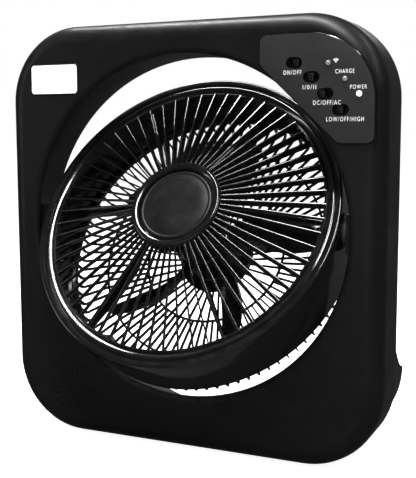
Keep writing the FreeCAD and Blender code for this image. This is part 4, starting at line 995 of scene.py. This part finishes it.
MIDDLE = (CAD_BOX[0] + CAD_BOX[1]) / 2
SURROUND_LIGHT = 0.24
SURROUND_MIRRORED = (0.03, 0.1)
FLOOR_GLOW = 0.22
FLOOR_SEEN = 0.92
LAMPS = [
    # name, two ends and width in metres, power in watts
    ("key_strip", (0.44, -1.2, 1.5), (0.15, -0.5, 1.9), 0.14, 26.0),
    ("over_strip", (0.15, -0.5, 1.9), (-0.35, 0.02, 1.91), 0.14, 24.0),
    ("back_strip", (-0.35, 0.02, 1.91), (-0.85, 0.42, 1.6), 0.14, 20.0),
    ("right_strip", (1.6, -0.7, 1.1), (0.8, 0.65, 1.86), 0.08, 9.0),
    ("left_strip", (-1.5, -1.0, 0.1), (-1.5, -1.0, 1.4), 0.1, 3.0),
    ("low_strip", (-0.4, -1.6, 0.2), (1.0, -1.6, 0.2), 0.1, 1.5),
    ("rear_fill", (-0.9, 1.7, 0.8), (0.1, 1.7, 0.8), 0.5, 3.5),
]
CAMERA_SPOT = Vector((0.4105, -0.85925, 0.3292))
CAMERA_AIM = Vector((0.03095, -0.03985, 0.22433))
CAMERA_ROLL = -0.14
CAMERA_LENS = 68.49


def floor():
    """A pale painted floor, brighter to the camera than the light it gives."""
    bpy.ops.mesh.primitive_plane_add(size=30.0, location=(0, 0, 0))
    ground = bpy.context.object
    ground.name = "floor"
    material, tree, shader, place = blank("floor_paint", Roughness=0.6)
    cloud = node(tree, "ShaderNodeTexNoise", {"Vector": place, "Scale": 2.0, "Detail": 3.0})
    paint = mix(tree, cloud.outputs["Fac"], grey(0.93), grey(0.96))
    tree.links.new(paint, shader.inputs["Base Color"])
    shader.inputs["Emission Color"].default_value = grey(1.0)
    glow = node(tree, "ShaderNodeMapRange", {
        "Value": node(tree, "ShaderNodeLightPath").outputs["Is Camera Ray"],
        "To Min": FLOOR_GLOW, "To Max": FLOOR_SEEN,
    })
    tree.links.new(glow.outputs["Result"], shader.inputs["Emission Strength"])
    ground.data.materials.append(material)
    ground.visible_glossy = False


def surround():
    """A white backdrop that lights softly, and mirrors darker in front of the fan than behind."""
    world = bpy.data.worlds.new("studio")
    bpy.context.scene.world = world
    world.use_nodes = True
    tree = world.node_tree
    path = node(tree, "ShaderNodeLightPath")
    place = node(tree, "ShaderNodeTexCoord")
    aim = node(tree, "ShaderNodeSeparateXYZ", {"Vector": place.outputs["Generated"]})
    wall = ramp(tree, aim.outputs["Y"], 0.0, 0.8, *SURROUND_MIRRORED)
    mirrored = node(tree, "ShaderNodeMapRange", {
        "Value": path.outputs["Is Glossy Ray"], "To Min": SURROUND_LIGHT, "To Max": wall,
    })
    light = node(tree, "ShaderNodeMapRange", {
        "Value": path.outputs["Is Camera Ray"], "To Min": mirrored.outputs["Result"],
        "To Max": 1.0,
    })
    backdrop = tree.nodes["Background"]
    tree.links.new(light.outputs["Result"], backdrop.inputs["Strength"])
    backdrop.inputs["Color"].default_value = grey(1.0)


def lamps():
    """Soft strip lamps, each laid from end to end and turned to face the fan's middle."""
    for name, first, last, width, power in LAMPS:
        first, last = Vector(first), Vector(last)
        lamp = bpy.data.lights.new(name, "AREA")
        lamp.shape = "RECTANGLE"
        lamp.size, lamp.size_y = (last - first).length, width
        lamp.energy = power
        stand = bpy.data.objects.new(name, lamp)
        spot = (first + last) / 2
        along = (last - first).normalized()
        across = (spot - MIDDLE).cross(along).normalized()
        turned = Matrix((along, across, along.cross(across))).transposed()
        stand.matrix_world = Matrix.Translation(spot) @ turned.to_4x4()
        bpy.context.scene.collection.objects.link(stand)


def camera():
    """A camera a little to the fan's left and above its middle."""
    lens = bpy.data.cameras.new("camera")
    lens.lens = CAMERA_LENS
    lens.sensor_width = 36.0
    stand = bpy.data.objects.new("camera", lens)
    stand.location = CAMERA_SPOT
    aim = (CAMERA_AIM - CAMERA_SPOT).to_track_quat("-Z", "Y").to_matrix().to_4x4()
    stand.rotation_euler = (aim @ Matrix.Rotation(math.radians(CAMERA_ROLL), 4, "Z")).to_euler()
    bpy.context.scene.collection.objects.link(stand)
    bpy.context.scene.camera = stand


floor()
surround()
lamps()
camera()
bpy.context.scene.view_settings.view_transform = "Standard"
